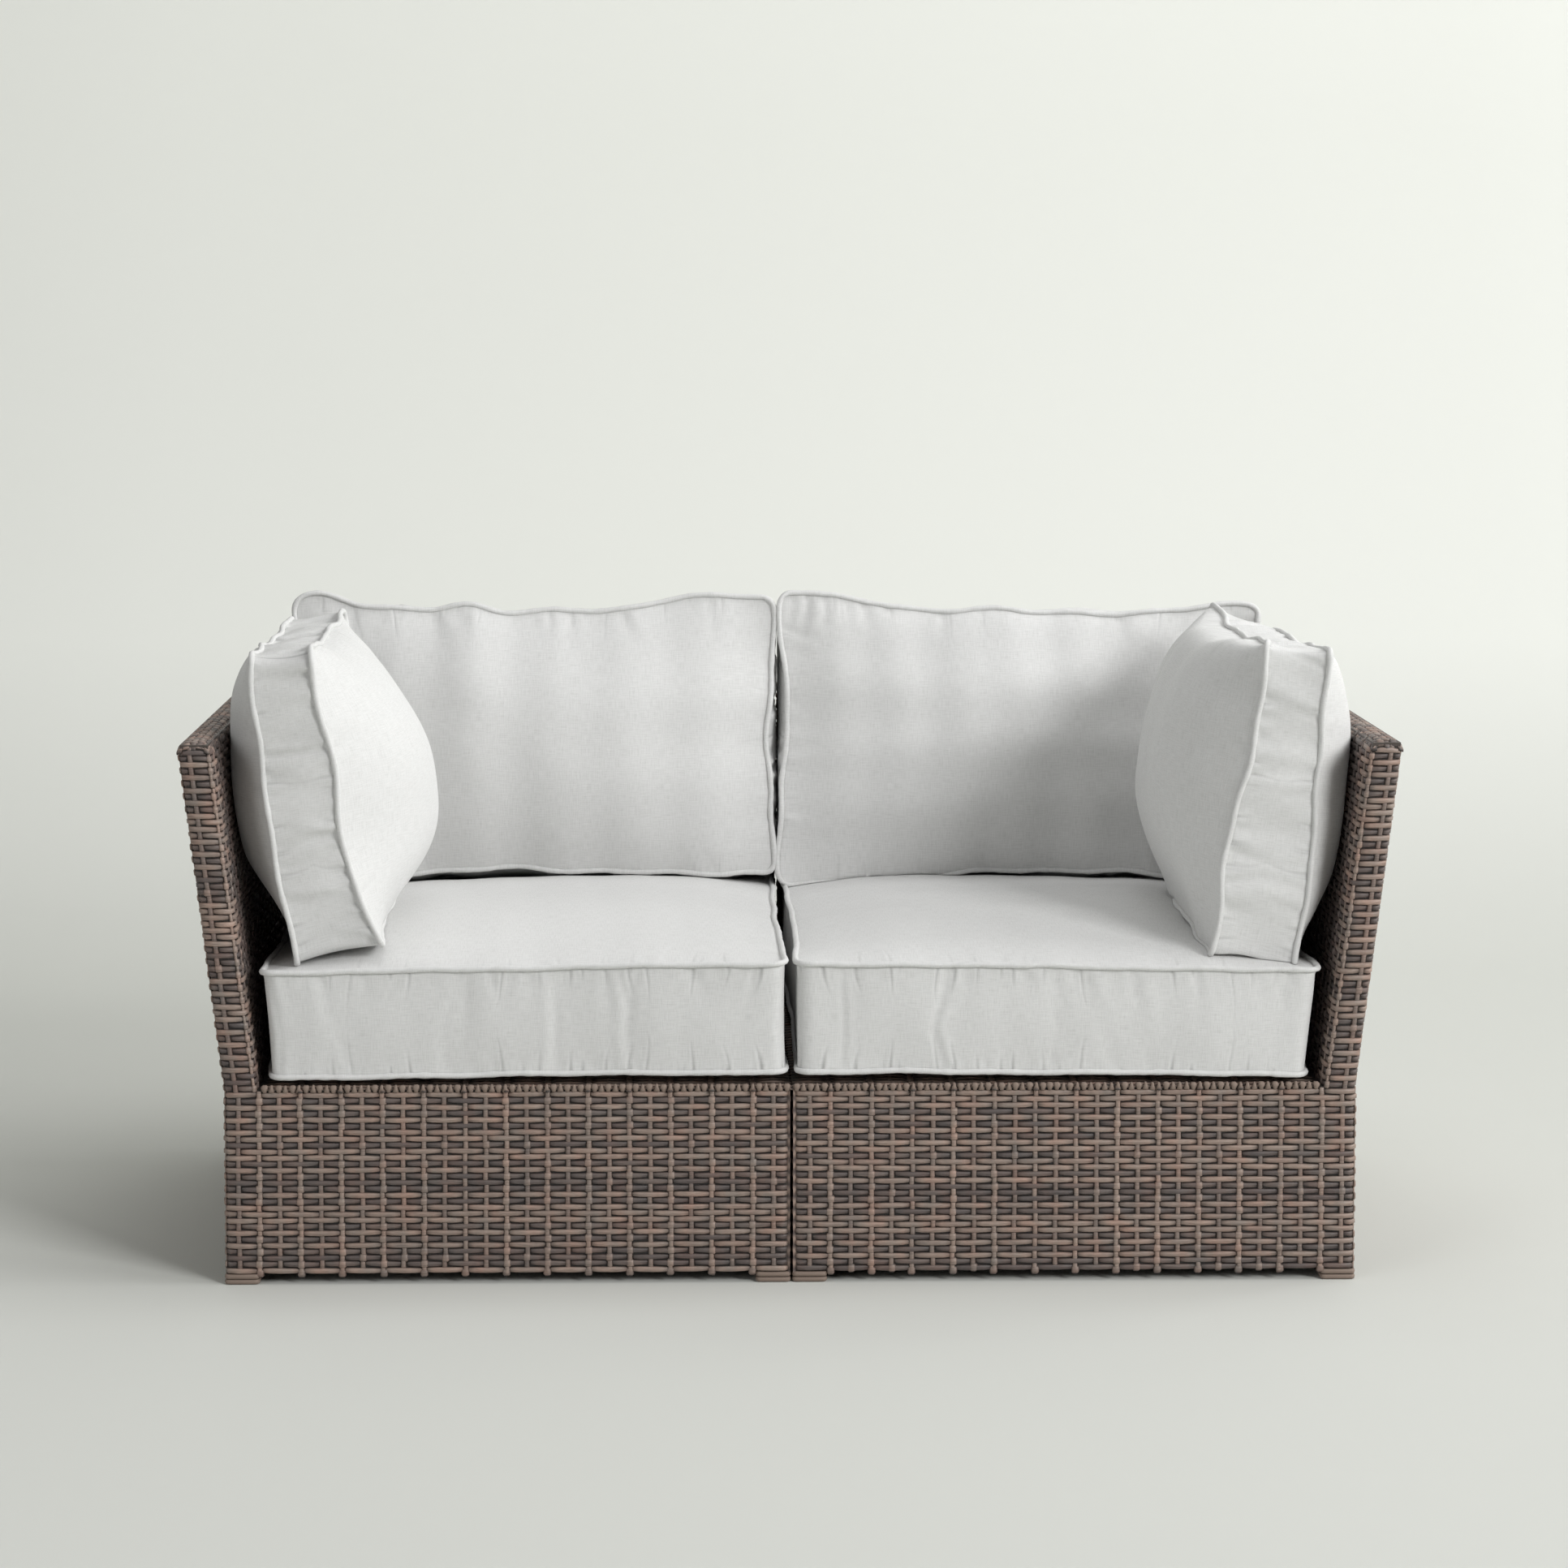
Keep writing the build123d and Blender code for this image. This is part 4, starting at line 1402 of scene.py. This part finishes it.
class Creases:
    """Short creases that start at a seam, each with a place, width, reach, slant and depth."""

    def __init__(self, rng, length, depth, spacing, reach):
        count = max(3, int(length / spacing))
        self.places = (np.arange(count) + rng.uniform(-0.45, 0.45, count)) * length / count
        self.widths = rng.uniform(0.0034, 0.0070, count)
        self.reaches = reach * rng.uniform(0.4, 1.9, count)
        self.slants = rng.uniform(-0.35, 0.35, count)
        self.depths = depth * rng.uniform(0.15, 1.0, count) ** 1.6 * 1.5

    def depth(self, along, away):
        """How deep the cloth lies at a run along the seam and a distance from it."""
        total = np.zeros_like(along)
        for place, width, reach, slant, depth in zip(
                self.places, self.widths, self.reaches, self.slants, self.depths):
            off = along - place - slant * away
            near = np.abs(off) < 5 * width
            if not near.any():
                continue
            wide = width * (1 + away[near] / reach * 0.8)
            hollow = np.exp(-(off[near] / wide) ** 2)
            ridge = 0.45 * np.exp(-((off[near] - 1.9 * wide) / wide) ** 2)
            fade = np.exp(-(away[near] / reach) ** 1.6)
            total[near] += depth * (ridge - hollow) * fade
        return total


def side_runs(pad, first, second):
    """For points of a face: the run along each of its four seams and the distance from it."""
    half_width, half_height = pad.width / 2, pad.height / 2
    return (
        (first + half_width, second + half_height),
        (second + half_height + pad.width, half_width - first),
        (half_width - first + pad.width + pad.height, half_height - second),
        (half_height - second + 2 * pad.width + pad.height, first + half_width),
    )


class Cover:
    """The sewn cover of a pad: two faces, the boxing between them and a cord in each seam.

    It gathers points, faces and two maps: cloth follows the threads, and seam holds the run
    along the nearest seam and the distance from it.
    """

    def __init__(self, pad, upholstery, seed, nudges):
        self.pad = pad
        self.piping = upholstery.piping
        self.rng = np.random.default_rng(seed)
        step = upholstery.mesh_step
        self.columns, self.rows = round(pad.width / step), round(pad.height / step)
        self.layers = max(8, round(pad.low_boxing / step))
        self.flat, self.out, self.run, self.length = seam_ring(pad, self.columns, self.rows)
        across, up = self.flat.T
        self.corner = np.abs(4 * across * up / (pad.width * pad.height)) ** 6
        self.points, self.faces, self.cloth, self.seam, self.bake = [], [], [], [], []
        self.total = 0
        front, rear = self.seams(nudges)
        rear_index = self.face(rear, pad.rear_crown, -1)
        front_index = self.face(front, pad.crown, 1)
        self.boxing(rear, front, rear_index, front_index)
        self.cord(front, 1)
        self.cord(rear, -1)

    def add(self, points):
        """Adds points and returns their numbers."""
        count = points[..., 0].size
        self.points.append(points.reshape(-1, 3))
        self.total += count
        return np.arange(self.total - count, self.total).reshape(points.shape[:-1])

    def add_faces(self, faces, cloth, seam, bake):
        """Adds quads with the three maps at their corners."""
        self.faces.append(faces.reshape(-1, 4))
        self.cloth.append(cloth.reshape(-1, 4, 2))
        self.seam.append(seam.reshape(-1, 4, 2))
        self.bake.append(bake.reshape(-1, 4, 2))

    def strip_map(self, low, high, halves):
        """A bake map for the strip of quads along the seam, laid as one or two level bands."""
        steps = np.arange(len(self.run))
        each = len(steps) // halves
        start = 0.02 + 0.96 * (steps % each) / each
        drop = (steps // each * 0.12)[:, None, None] * (0, 1)
        return corner_map(start, start + 0.96 / each, low, high) + drop

    def seams(self, nudges):
        """The front and the rear seam, a little wavy and pulled out of line by the nudges."""
        pad, rng = self.pad, self.rng
        across, up = self.flat.T
        end = -2 * across / pad.width
        boxing = pad.low_boxing + (pad.high_boxing - pad.low_boxing) * (up / pad.height + 0.5)
        sag = pad.bow * (1 - self.corner)
        size = pad.pucker * 0.9
        levels = {
            "front": boxing - sag + pad.front_rise + pad.front_tilt * end,
            "rear": -0.6 * sag + pad.rear_rise + pad.rear_tilt * end,
        }
        lines = []
        for name, level in levels.items():
            sway = wander(rng, self.run, self.length, (0.36, 0.21, 0.12)) * size
            sway += wander(rng, self.run, self.length, (0.055, 0.038)) * size * 0.05
            lift = wander(rng, self.run, self.length, (0.34, 0.19, 0.11)) * size
            line = np.column_stack((self.flat + self.out * sway[:, None], level + lift * 0.8))
            for nudge in nudges:
                if nudge.seam == name:
                    place = np.array(nudge.place) * (pad.width / 2, pad.height / 2)
                    gap = np.linalg.norm(self.flat - place, axis=1) / nudge.reach
                    line += np.exp(-gap ** 2)[:, None] * np.array(nudge.shift)
            lines.append(line)
        return lines

    def face(self, ring, crown, outward):
        """One crowned face inside its seam, with hills and creases that fade out at the seam."""
        pad, rng, columns, rows = self.pad, self.rng, self.columns, self.rows
        creases = Creases(rng, self.length, pad.pucker * 0.6, 0.030, 0.026)
        grid = fill_ring(ring, columns, rows)
        s = np.linspace(-1, 1, columns + 1)[None, :] * np.ones((rows + 1, 1))
        t = np.linspace(-1, 1, rows + 1)[:, None] * np.ones((1, columns + 1))
        edge = np.minimum(1, (1 - np.abs(s)) * 9) * np.minimum(1, (1 - np.abs(t)) * 9)
        edge = edge * edge * (3 - 2 * edge)
        first, second = grid[..., 0], grid[..., 1]
        low_fill, high_fill = pad.front_fill if outward > 0 else pad.rear_fill
        fill = low_fill + (high_fill - low_fill) * (t + 1) / 2
        swell = crown * (1 - np.abs(s) ** pad.evenness) * (1 - t * t) ** fill
        if outward > 0:
            swell *= 1 + pad.skew * t
        hills = waves(rng, first, second, 0.26) * 0.45 + waves(rng, first, second, 0.11) * 0.10
        swell += hills * pad.pucker * edge
        folds = np.zeros_like(first)
        for run, away in side_runs(pad, first, second):
            folds += creases.depth(run.ravel(), np.maximum(away, 0).ravel()).reshape(run.shape)
        fade = np.minimum((1 - np.abs(s)) * columns, (1 - np.abs(t)) * rows) / 3
        grid[..., 2] += outward * (swell + folds * np.clip(fade, 0, 1))
        if outward < 0:
            # The rear face is pressed flat where it would reach through the panel
            blend = 0.0022
            above = (grid[..., 2] + pad.rear_reach) / blend
            grid[..., 2] = blend * np.logaddexp(0, above) - pad.rear_reach
        index = self.add(grid)
        quads = np.stack(
            (index[:-1, :-1], index[:-1, 1:], index[1:, 1:], index[1:, :-1]), -1).reshape(-1, 4)
        if outward < 0:
            quads = quads[:, ::-1]
        flat = grid[..., :2].reshape(-1, 2)[quads - index[0, 0]]
        centre = flat.mean(axis=1)
        aways = np.stack([away for _, away in side_runs(pad, *centre.T)])
        nearest = aways.argmin(axis=0)
        sides = side_runs(pad, flat[..., 0], flat[..., 1])
        gaps = np.sort([away for _, away in sides], axis=0)
        corner = 3 * np.maximum(0.035 - (gaps[1] - gaps[0]), 0)
        runs = np.stack([
            np.stack((run, np.maximum(away, 0) + corner), -1) for run, away in sides])
        seam = runs[nearest, np.arange(len(quads))] + (FACE_RUN, 0.0)
        bake = (flat / max(pad.width, pad.height) + 0.5) * 0.46 + (
            0.02 if outward > 0 else 0.52, 0.02)
        self.add_faces(quads, flat + (0.5, 0.5 if outward > 0 else 1.7), seam, bake)
        return index

    def boxing(self, rear, front, rear_index, front_index):
        """The band between the seams, which bulges, and is drawn in and gathered at corners."""
        pad, rng, run, layers = self.pad, self.rng, self.run, self.layers
        near_front = Creases(rng, self.length, pad.pucker * 1.25, 0.026, 0.030)
        near_rear = Creases(rng, self.length, pad.pucker * 0.65, 0.026, 0.030)
        across_it = Creases(rng, self.length, pad.pucker * 0.9, 0.14, 0.16)
        hills = wander(rng, run, self.length, (0.21, 0.12, 0.07)) * pad.pucker * 0.6
        height = np.linalg.norm(front - rear, axis=1)
        end = -pad.width / 2
        beside = (self.out[:, 0] < -0.8) & (pad.meet > 0)
        swollen = (self.flat[:, 0] - end + pad.meet) * (1 - self.corner)
        rings = [self.ring_of(rear_index)]
        for layer in range(1, layers):
            v = layer / layers
            bulge = math.sin(math.pi * v)
            low, high = height * v, height * (1 - v)
            push = (pad.bulge * (1 - self.corner) - pad.arch * 1.6 * self.corner + hills) * bulge
            push = np.where(beside, swollen * bulge ** 0.6, push)
            folds = near_rear.depth(run, low) + near_front.depth(run, high)
            folds += across_it.depth(run, np.abs(low - height * 0.4))
            fade = min(1.0, layer / 2, (layers - layer) / 2)
            line = rear + (front - rear) * v
            line[:, :2] += self.out * (push + folds * fade)[:, None]
            if pad.meet:
                line[:, 0] = np.maximum(line[:, 0], end - pad.meet)
            rings.append(self.add(line))
        rings.append(self.ring_of(front_index))
        start, end = run, np.append(run[1:], self.length)
        joint = run[self.columns + self.rows] + 0.005
        for layer in range(layers):
            low, high = rings[layer], rings[layer + 1]
            quads = np.stack((low, np.roll(low, -1), np.roll(high, -1), high), -1)
            v0, v1 = (pad.low_boxing * step / layers for step in (layer, layer + 1))
            self.add_faces(
                quads, corner_map(start, end, v0, v1),
                corner_map(start - joint, end - joint, min(v0, pad.low_boxing - v0),
                           min(v1, pad.low_boxing - v1)),
                self.strip_map(0.52 + 0.7 * v0, 0.52 + 0.7 * v1, 2))

    @staticmethod
    def ring_of(index):
        """The numbers of a face's edge points in the order of its seam."""
        return np.concatenate((index[0, :-1], index[:-1, -1], index[-1, :0:-1], index[:0:-1, 0]))

    def cord(self, ring, lean):
        """The piping along a seam, a little uneven."""
        sides = 8
        wave = wander(self.rng, self.run, self.length, (0.05, 0.031, 0.019))
        radius = self.piping * (1 + 0.07 * wave)
        centre = ring.copy()
        centre[:, :2] += self.out * 0.0012
        centre[:, 2] += lean * 0.0010
        angles = np.arange(sides) * math.tau / sides
        spots = np.repeat(centre[:, None], sides, axis=1)
        spots[..., :2] += self.out[:, None] * (radius[:, None] * np.cos(angles))[..., None]
        spots[..., 2] += radius[:, None] * np.sin(angles)
        index = self.add(spots)
        ahead = np.roll(index, -1, axis=0)
        start, end = self.run, np.append(self.run[1:], self.length)
        for side in range(sides):
            after = (side + 1) % sides
            quads = np.stack((index[:, side], ahead[:, side], ahead[:, after], index[:, after]), -1)
            low, high = side * 0.003, (side + 1) * 0.003
            level = 0.78 + 0.012 * side + (0.0 if lean > 0 else 0.11)
            self.add_faces(
                quads, corner_map(start, end, low, high),
                corner_map(start, end, PIPING_AWAY, PIPING_AWAY),
                self.strip_map(level, level + 0.01, 1))

    def finish(self):
        """Points, faces and the maps by name, as arrays."""
        maps = {"cloth": self.cloth, "seam": self.seam, "OFBake": self.bake}
        return np.concatenate(self.points), np.concatenate(self.faces), {
            name: np.concatenate(parts) for name, parts in maps.items()}


def corner_map(start, end, low, high):
    """A map's values at the corners of a strip of quads."""
    zero = np.zeros_like(start)
    return np.stack((
        np.stack((start, zero + low), -1), np.stack((end, zero + low), -1),
        np.stack((end, zero + high), -1), np.stack((start, zero + high), -1)), 1)


def place_pad(pad, places):
    """Local points of a pad as points of the right-hand module."""
    turn = np.array([tuple(pad.across), tuple(pad.up), tuple(pad.front)])
    return places @ turn + np.array(tuple(pad.origin))


class LOVESEAT_OT_cushions(bpy.types.Operator):
    """Sew the seat, back and side cushions of both modules"""

    bl_idname = "loveseat.cushions"
    bl_label = "Sew the cushions"

    def execute(self, context):
        upholstery = context.scene.loveseat_upholstery
        material = fabric_material(upholstery)
        for number, (side_name, side) in enumerate(SIDES):
            seat_top = None
            for order, pad in enumerate(PADS):
                name = f"{side_name}_{pad.name}"
                pad = replace(pad, **SHAPES.get(name, {}))
                seed = upholstery.seed + 10 * number + order
                cover = Cover(pad, upholstery, seed, NUDGES.get(name, ()))
                places, faces, maps = cover.finish()
                spots = place_pad(pad, places)
                if seat_top is None:
                    seat_top = BVHTree.FromPolygons(spots.tolist(), faces.tolist())
                else:
                    spots = self.stand(spots, seat_top)
                piece = self.pad_object(f"{name}_pad", side, spots, faces, maps, material)
                body = f"{name}_cushion"
                settle(piece, body, "cushion_fabric", f"{body}_cover", f"{body}_core")
        return {"FINISHED"}

    @staticmethod
    def pad_object(name, side, spots, faces, maps, material):
        """A cover as a mesh object with its maps, mirrored for the left-hand module."""
        mesh = bpy.data.meshes.new(name)
        mesh.from_pydata((spots * (side, 1, 1)).tolist(), [], faces[:, ::side].tolist())
        for map_name, values in maps.items():
            layer = mesh.uv_layers.new(name=map_name)
            layer.data.foreach_set("uv", values[:, ::side].ravel())
        smooth(mesh)
        mesh.materials.append(material)
        return new_object(name, mesh)

    @staticmethod
    def stand(spots, seat_top):
        """Lifts the points of a cushion that would sink into the seat cushion under it."""
        room = 0.0006
        lifted = spots.copy()
        low = np.nonzero(spots[:, 2] < SETTLE_BELOW)[0]
        for number in low:
            x, y, z = spots[number]
            hit, _, _, _ = seat_top.ray_cast(Vector((x, y, LOOK_FROM)), Vector((0, 0, -1)))
            if hit is not None and hit.z > SEAT_EDGE:
                lifted[number, 2] = max(z, hit.z + room)
        return lifted


class LOVESEAT_OT_hardware(bpy.types.Operator):
    """Give the tube frame, the glides, the clips and the hidden skins their finishes"""

    bl_idname = "loveseat.hardware"
    bl_label = "Finish the frame"

    def execute(self, context):
        coat = coat_material()
        plastic = plastic_material()
        inner = inner_skin_material(context.scene.loveseat_weave)
        for name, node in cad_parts.items():
            if name.endswith(("_rail", "_post", "_leg", "_slats")):
                finish = coat
            elif name == "glides" or name.endswith("_clip"):
                finish = plastic
            elif name.endswith("_base_inner_weave"):
                finish = inner
            else:
                continue
            for slot in node.material_slots:
                slot.material = finish
        return {"FINISHED"}


class LOVESEAT_OT_stage(bpy.types.Operator):
    """Set the camera, the floor with its backdrop and the lamps"""

    bl_idname = "loveseat.stage"
    bl_label = "Set the stage"

    def execute(self, context):
        stage = context.scene.loveseat_stage
        self.camera(context, stage)
        self.floor(stage)
        self.lamps(context)
        self.world(context, stage)
        context.scene.view_settings.view_transform = "Standard"
        return {"FINISHED"}

    @staticmethod
    def camera(context, stage):
        """A camera that looks down a little, with the rest of the way in its lens shift."""
        data = bpy.data.cameras.new("camera")
        data.lens = stage.focal_length
        data.sensor_width = 36
        data.shift_x, data.shift_y = stage.shift
        camera = bpy.data.objects.new("camera", data)
        context.scene.collection.objects.link(camera)
        camera.location = stage.camera_place
        camera.rotation_euler = (math.pi / 2 - stage.camera_pitch, 0, -stage.camera_yaw)
        context.scene.camera = camera

    @staticmethod
    def floor(stage):
        """A floor that curves up into a backdrop, and goes on flat behind it."""
        wide, front, tall = 9.0, -9.0, 7.0
        radius, steps = 1.6, 24
        rear = stage.backdrop_distance
        profile = [(front, 0.0), (rear - radius, 0.0)]
        for step in range(1, steps + 1):
            angle = math.pi / 2 * step / steps
            profile.append((
                rear - radius + radius * math.sin(angle), radius - radius * math.cos(angle)))
        profile.append((rear, tall))
        verts = [(x, y, z) for y, z in profile for x in (-wide, wide)]
        faces = [(low, low + 1, low + 3, low + 2) for low in range(0, len(verts) - 2, 2)]
        last = len(verts)
        verts += [(x, y, 0.0) for y in (rear - radius, wide) for x in (-wide, wide)]
        faces.append((last, last + 1, last + 3, last + 2))
        mesh = bpy.data.meshes.new("floor")
        mesh.from_pydata(verts, [], faces)
        smooth(mesh)
        material, graph = new_material("floor")
        parts = graph.node("ShaderNodeSeparateXYZ", None, {"Vector": graph.place()})
        # Painted light: the colour grows lighter from the floor up into the backdrop
        rising = graph.ramp(parts.other("Z"), (0.05, 0.0), (0.5, 1.0))
        lighter = tuple(level * stage.backdrop_painted_light for level in stage.floor_colour)
        # Painted shade: the floor and backdrop are darkened towards the right, against the brighter
        # light there
        painted_side_shade = graph.ramp(
            (parts + 1.6) / 3.6, (0.1, (1.0, 1.0, 1.0)), (0.9, (0.86, 0.86, 0.86)))
        colour = graph.tint(graph.mix(rising, stage.floor_colour, lighter), painted_side_shade)
        finish_material(
            graph, {"Base Color": colour, "Roughness": 0.9, "Specular IOR Level": 0.1},
            clear=graph.node("ShaderNodeNewGeometry").other("Backfacing"))
        mesh.materials.append(material)
        new_object("floor", mesh)

    @staticmethod
    def lamps(context):
        """Large soft keys from the upper right and a weak fill from the left."""
        lamps = (
            ("side key", (7.6, -1.7, 4.3), (0.0, 0.0, 0.4), 4.0, 215.0),
            ("near key", (6.4, -0.5, 4.0), (0.0, 0.0, 0.4), 1.6, 66.0),
            ("front key", (5.4, -5.8, 4.4), (0.0, 0.0, 0.4), 2.9, 440.0),
            ("top", (0.3, -0.2, 4.4), (0.0, 0.0, 0.0), 3.0, 52.0),
            ("wall", (3.4, 0.9, 3.8), (1.2, 3.2, 1.6), 1.5, 36.0),
            ("left", (-7.5, -6.5, 4.0), (0.0, 0.0, 0.4), 5.4, 220.0),
        )
        for name, place, aim, size, power in lamps:
            data = bpy.data.lights.new(name, "AREA")
            data.shape = "SQUARE"
            data.size = size
            data.energy = power
            lamp = bpy.data.objects.new(name, data)
            context.scene.collection.objects.link(lamp)
            lamp.location = place
            lamp.rotation_euler = (
                Vector(aim) - Vector(place)).to_track_quat("-Z", "Y").to_euler()

    @staticmethod
    def world(context, stage):
        """A faint even sky that lights the loveseat, and shows as a pale backdrop."""
        world = context.scene.world or bpy.data.worlds.new("sky")
        context.scene.world = world
        world.use_nodes = True
        world.node_tree.nodes.clear()
        graph = Graph(world.node_tree)
        sky = graph.node(
            "ShaderNodeBackground", None, {"Color": (0.93, 0.96, 1.0, 1), "Strength": 0.02})
        pale = graph.node(
            "ShaderNodeBackground", None,
            {"Color": graph.colour(stage.floor_colour), "Strength": 0.9})
        ray = graph.node("ShaderNodeLightPath")
        seen = ray.maths("MAXIMUM", ray.other("Is Glossy Ray"))
        seen = seen.maths("MAXIMUM", ray.other("Is Transmission Ray"))
        mixed = graph.node("ShaderNodeMixShader", None, {0: seen, 1: sky, 2: pale})
        graph.node("ShaderNodeOutputWorld", None, {"Surface": mixed})


class LOVESEAT_PT_panel(bpy.types.Panel):
    """Sidebar panel that lists the steps and their sizes"""

    bl_idname = "LOVESEAT_PT_panel"
    bl_label = "Woven Loveseat"
    bl_space_type = "VIEW_3D"
    bl_region_type = "UI"
    bl_category = "Loveseat"

    def draw(self, context):
        layout = self.layout
        for group in ("loveseat_stage", "loveseat_weave", "loveseat_upholstery"):
            box = layout.box()
            settings = getattr(context.scene, group)
            for name in settings.__annotations__:
                box.prop(settings, name)
        for step in OPERATORS:
            layout.operator(step.bl_idname)


GROUPS = (
    ("loveseat_stage", Stage), ("loveseat_weave", Weave), ("loveseat_upholstery", Upholstery))
OPERATORS = (
    LOVESEAT_OT_stage, LOVESEAT_OT_wicker, LOVESEAT_OT_edges, LOVESEAT_OT_cushions,
    LOVESEAT_OT_hardware)


def register():
    """Registers every class and hangs the settings on the scene."""
    for name, group in GROUPS:
        bpy.utils.register_class(group)
        setattr(bpy.types.Scene, name, PointerProperty(type=group))
    for made in (*OPERATORS, LOVESEAT_PT_panel):
        bpy.utils.register_class(made)


def unregister():
    """Takes the settings and classes away again."""
    for made in (LOVESEAT_PT_panel, *reversed(OPERATORS)):
        bpy.utils.unregister_class(made)
    for name, group in reversed(GROUPS):
        delattr(bpy.types.Scene, name)
        bpy.utils.unregister_class(group)


def main():
    """Builds the whole loveseat."""
    register()
    bpy.ops.loveseat.stage()
    bpy.ops.loveseat.wicker()
    bpy.ops.loveseat.edges()
    bpy.ops.loveseat.cushions()
    bpy.ops.loveseat.hardware()


if __name__ == "__main__":
    main()
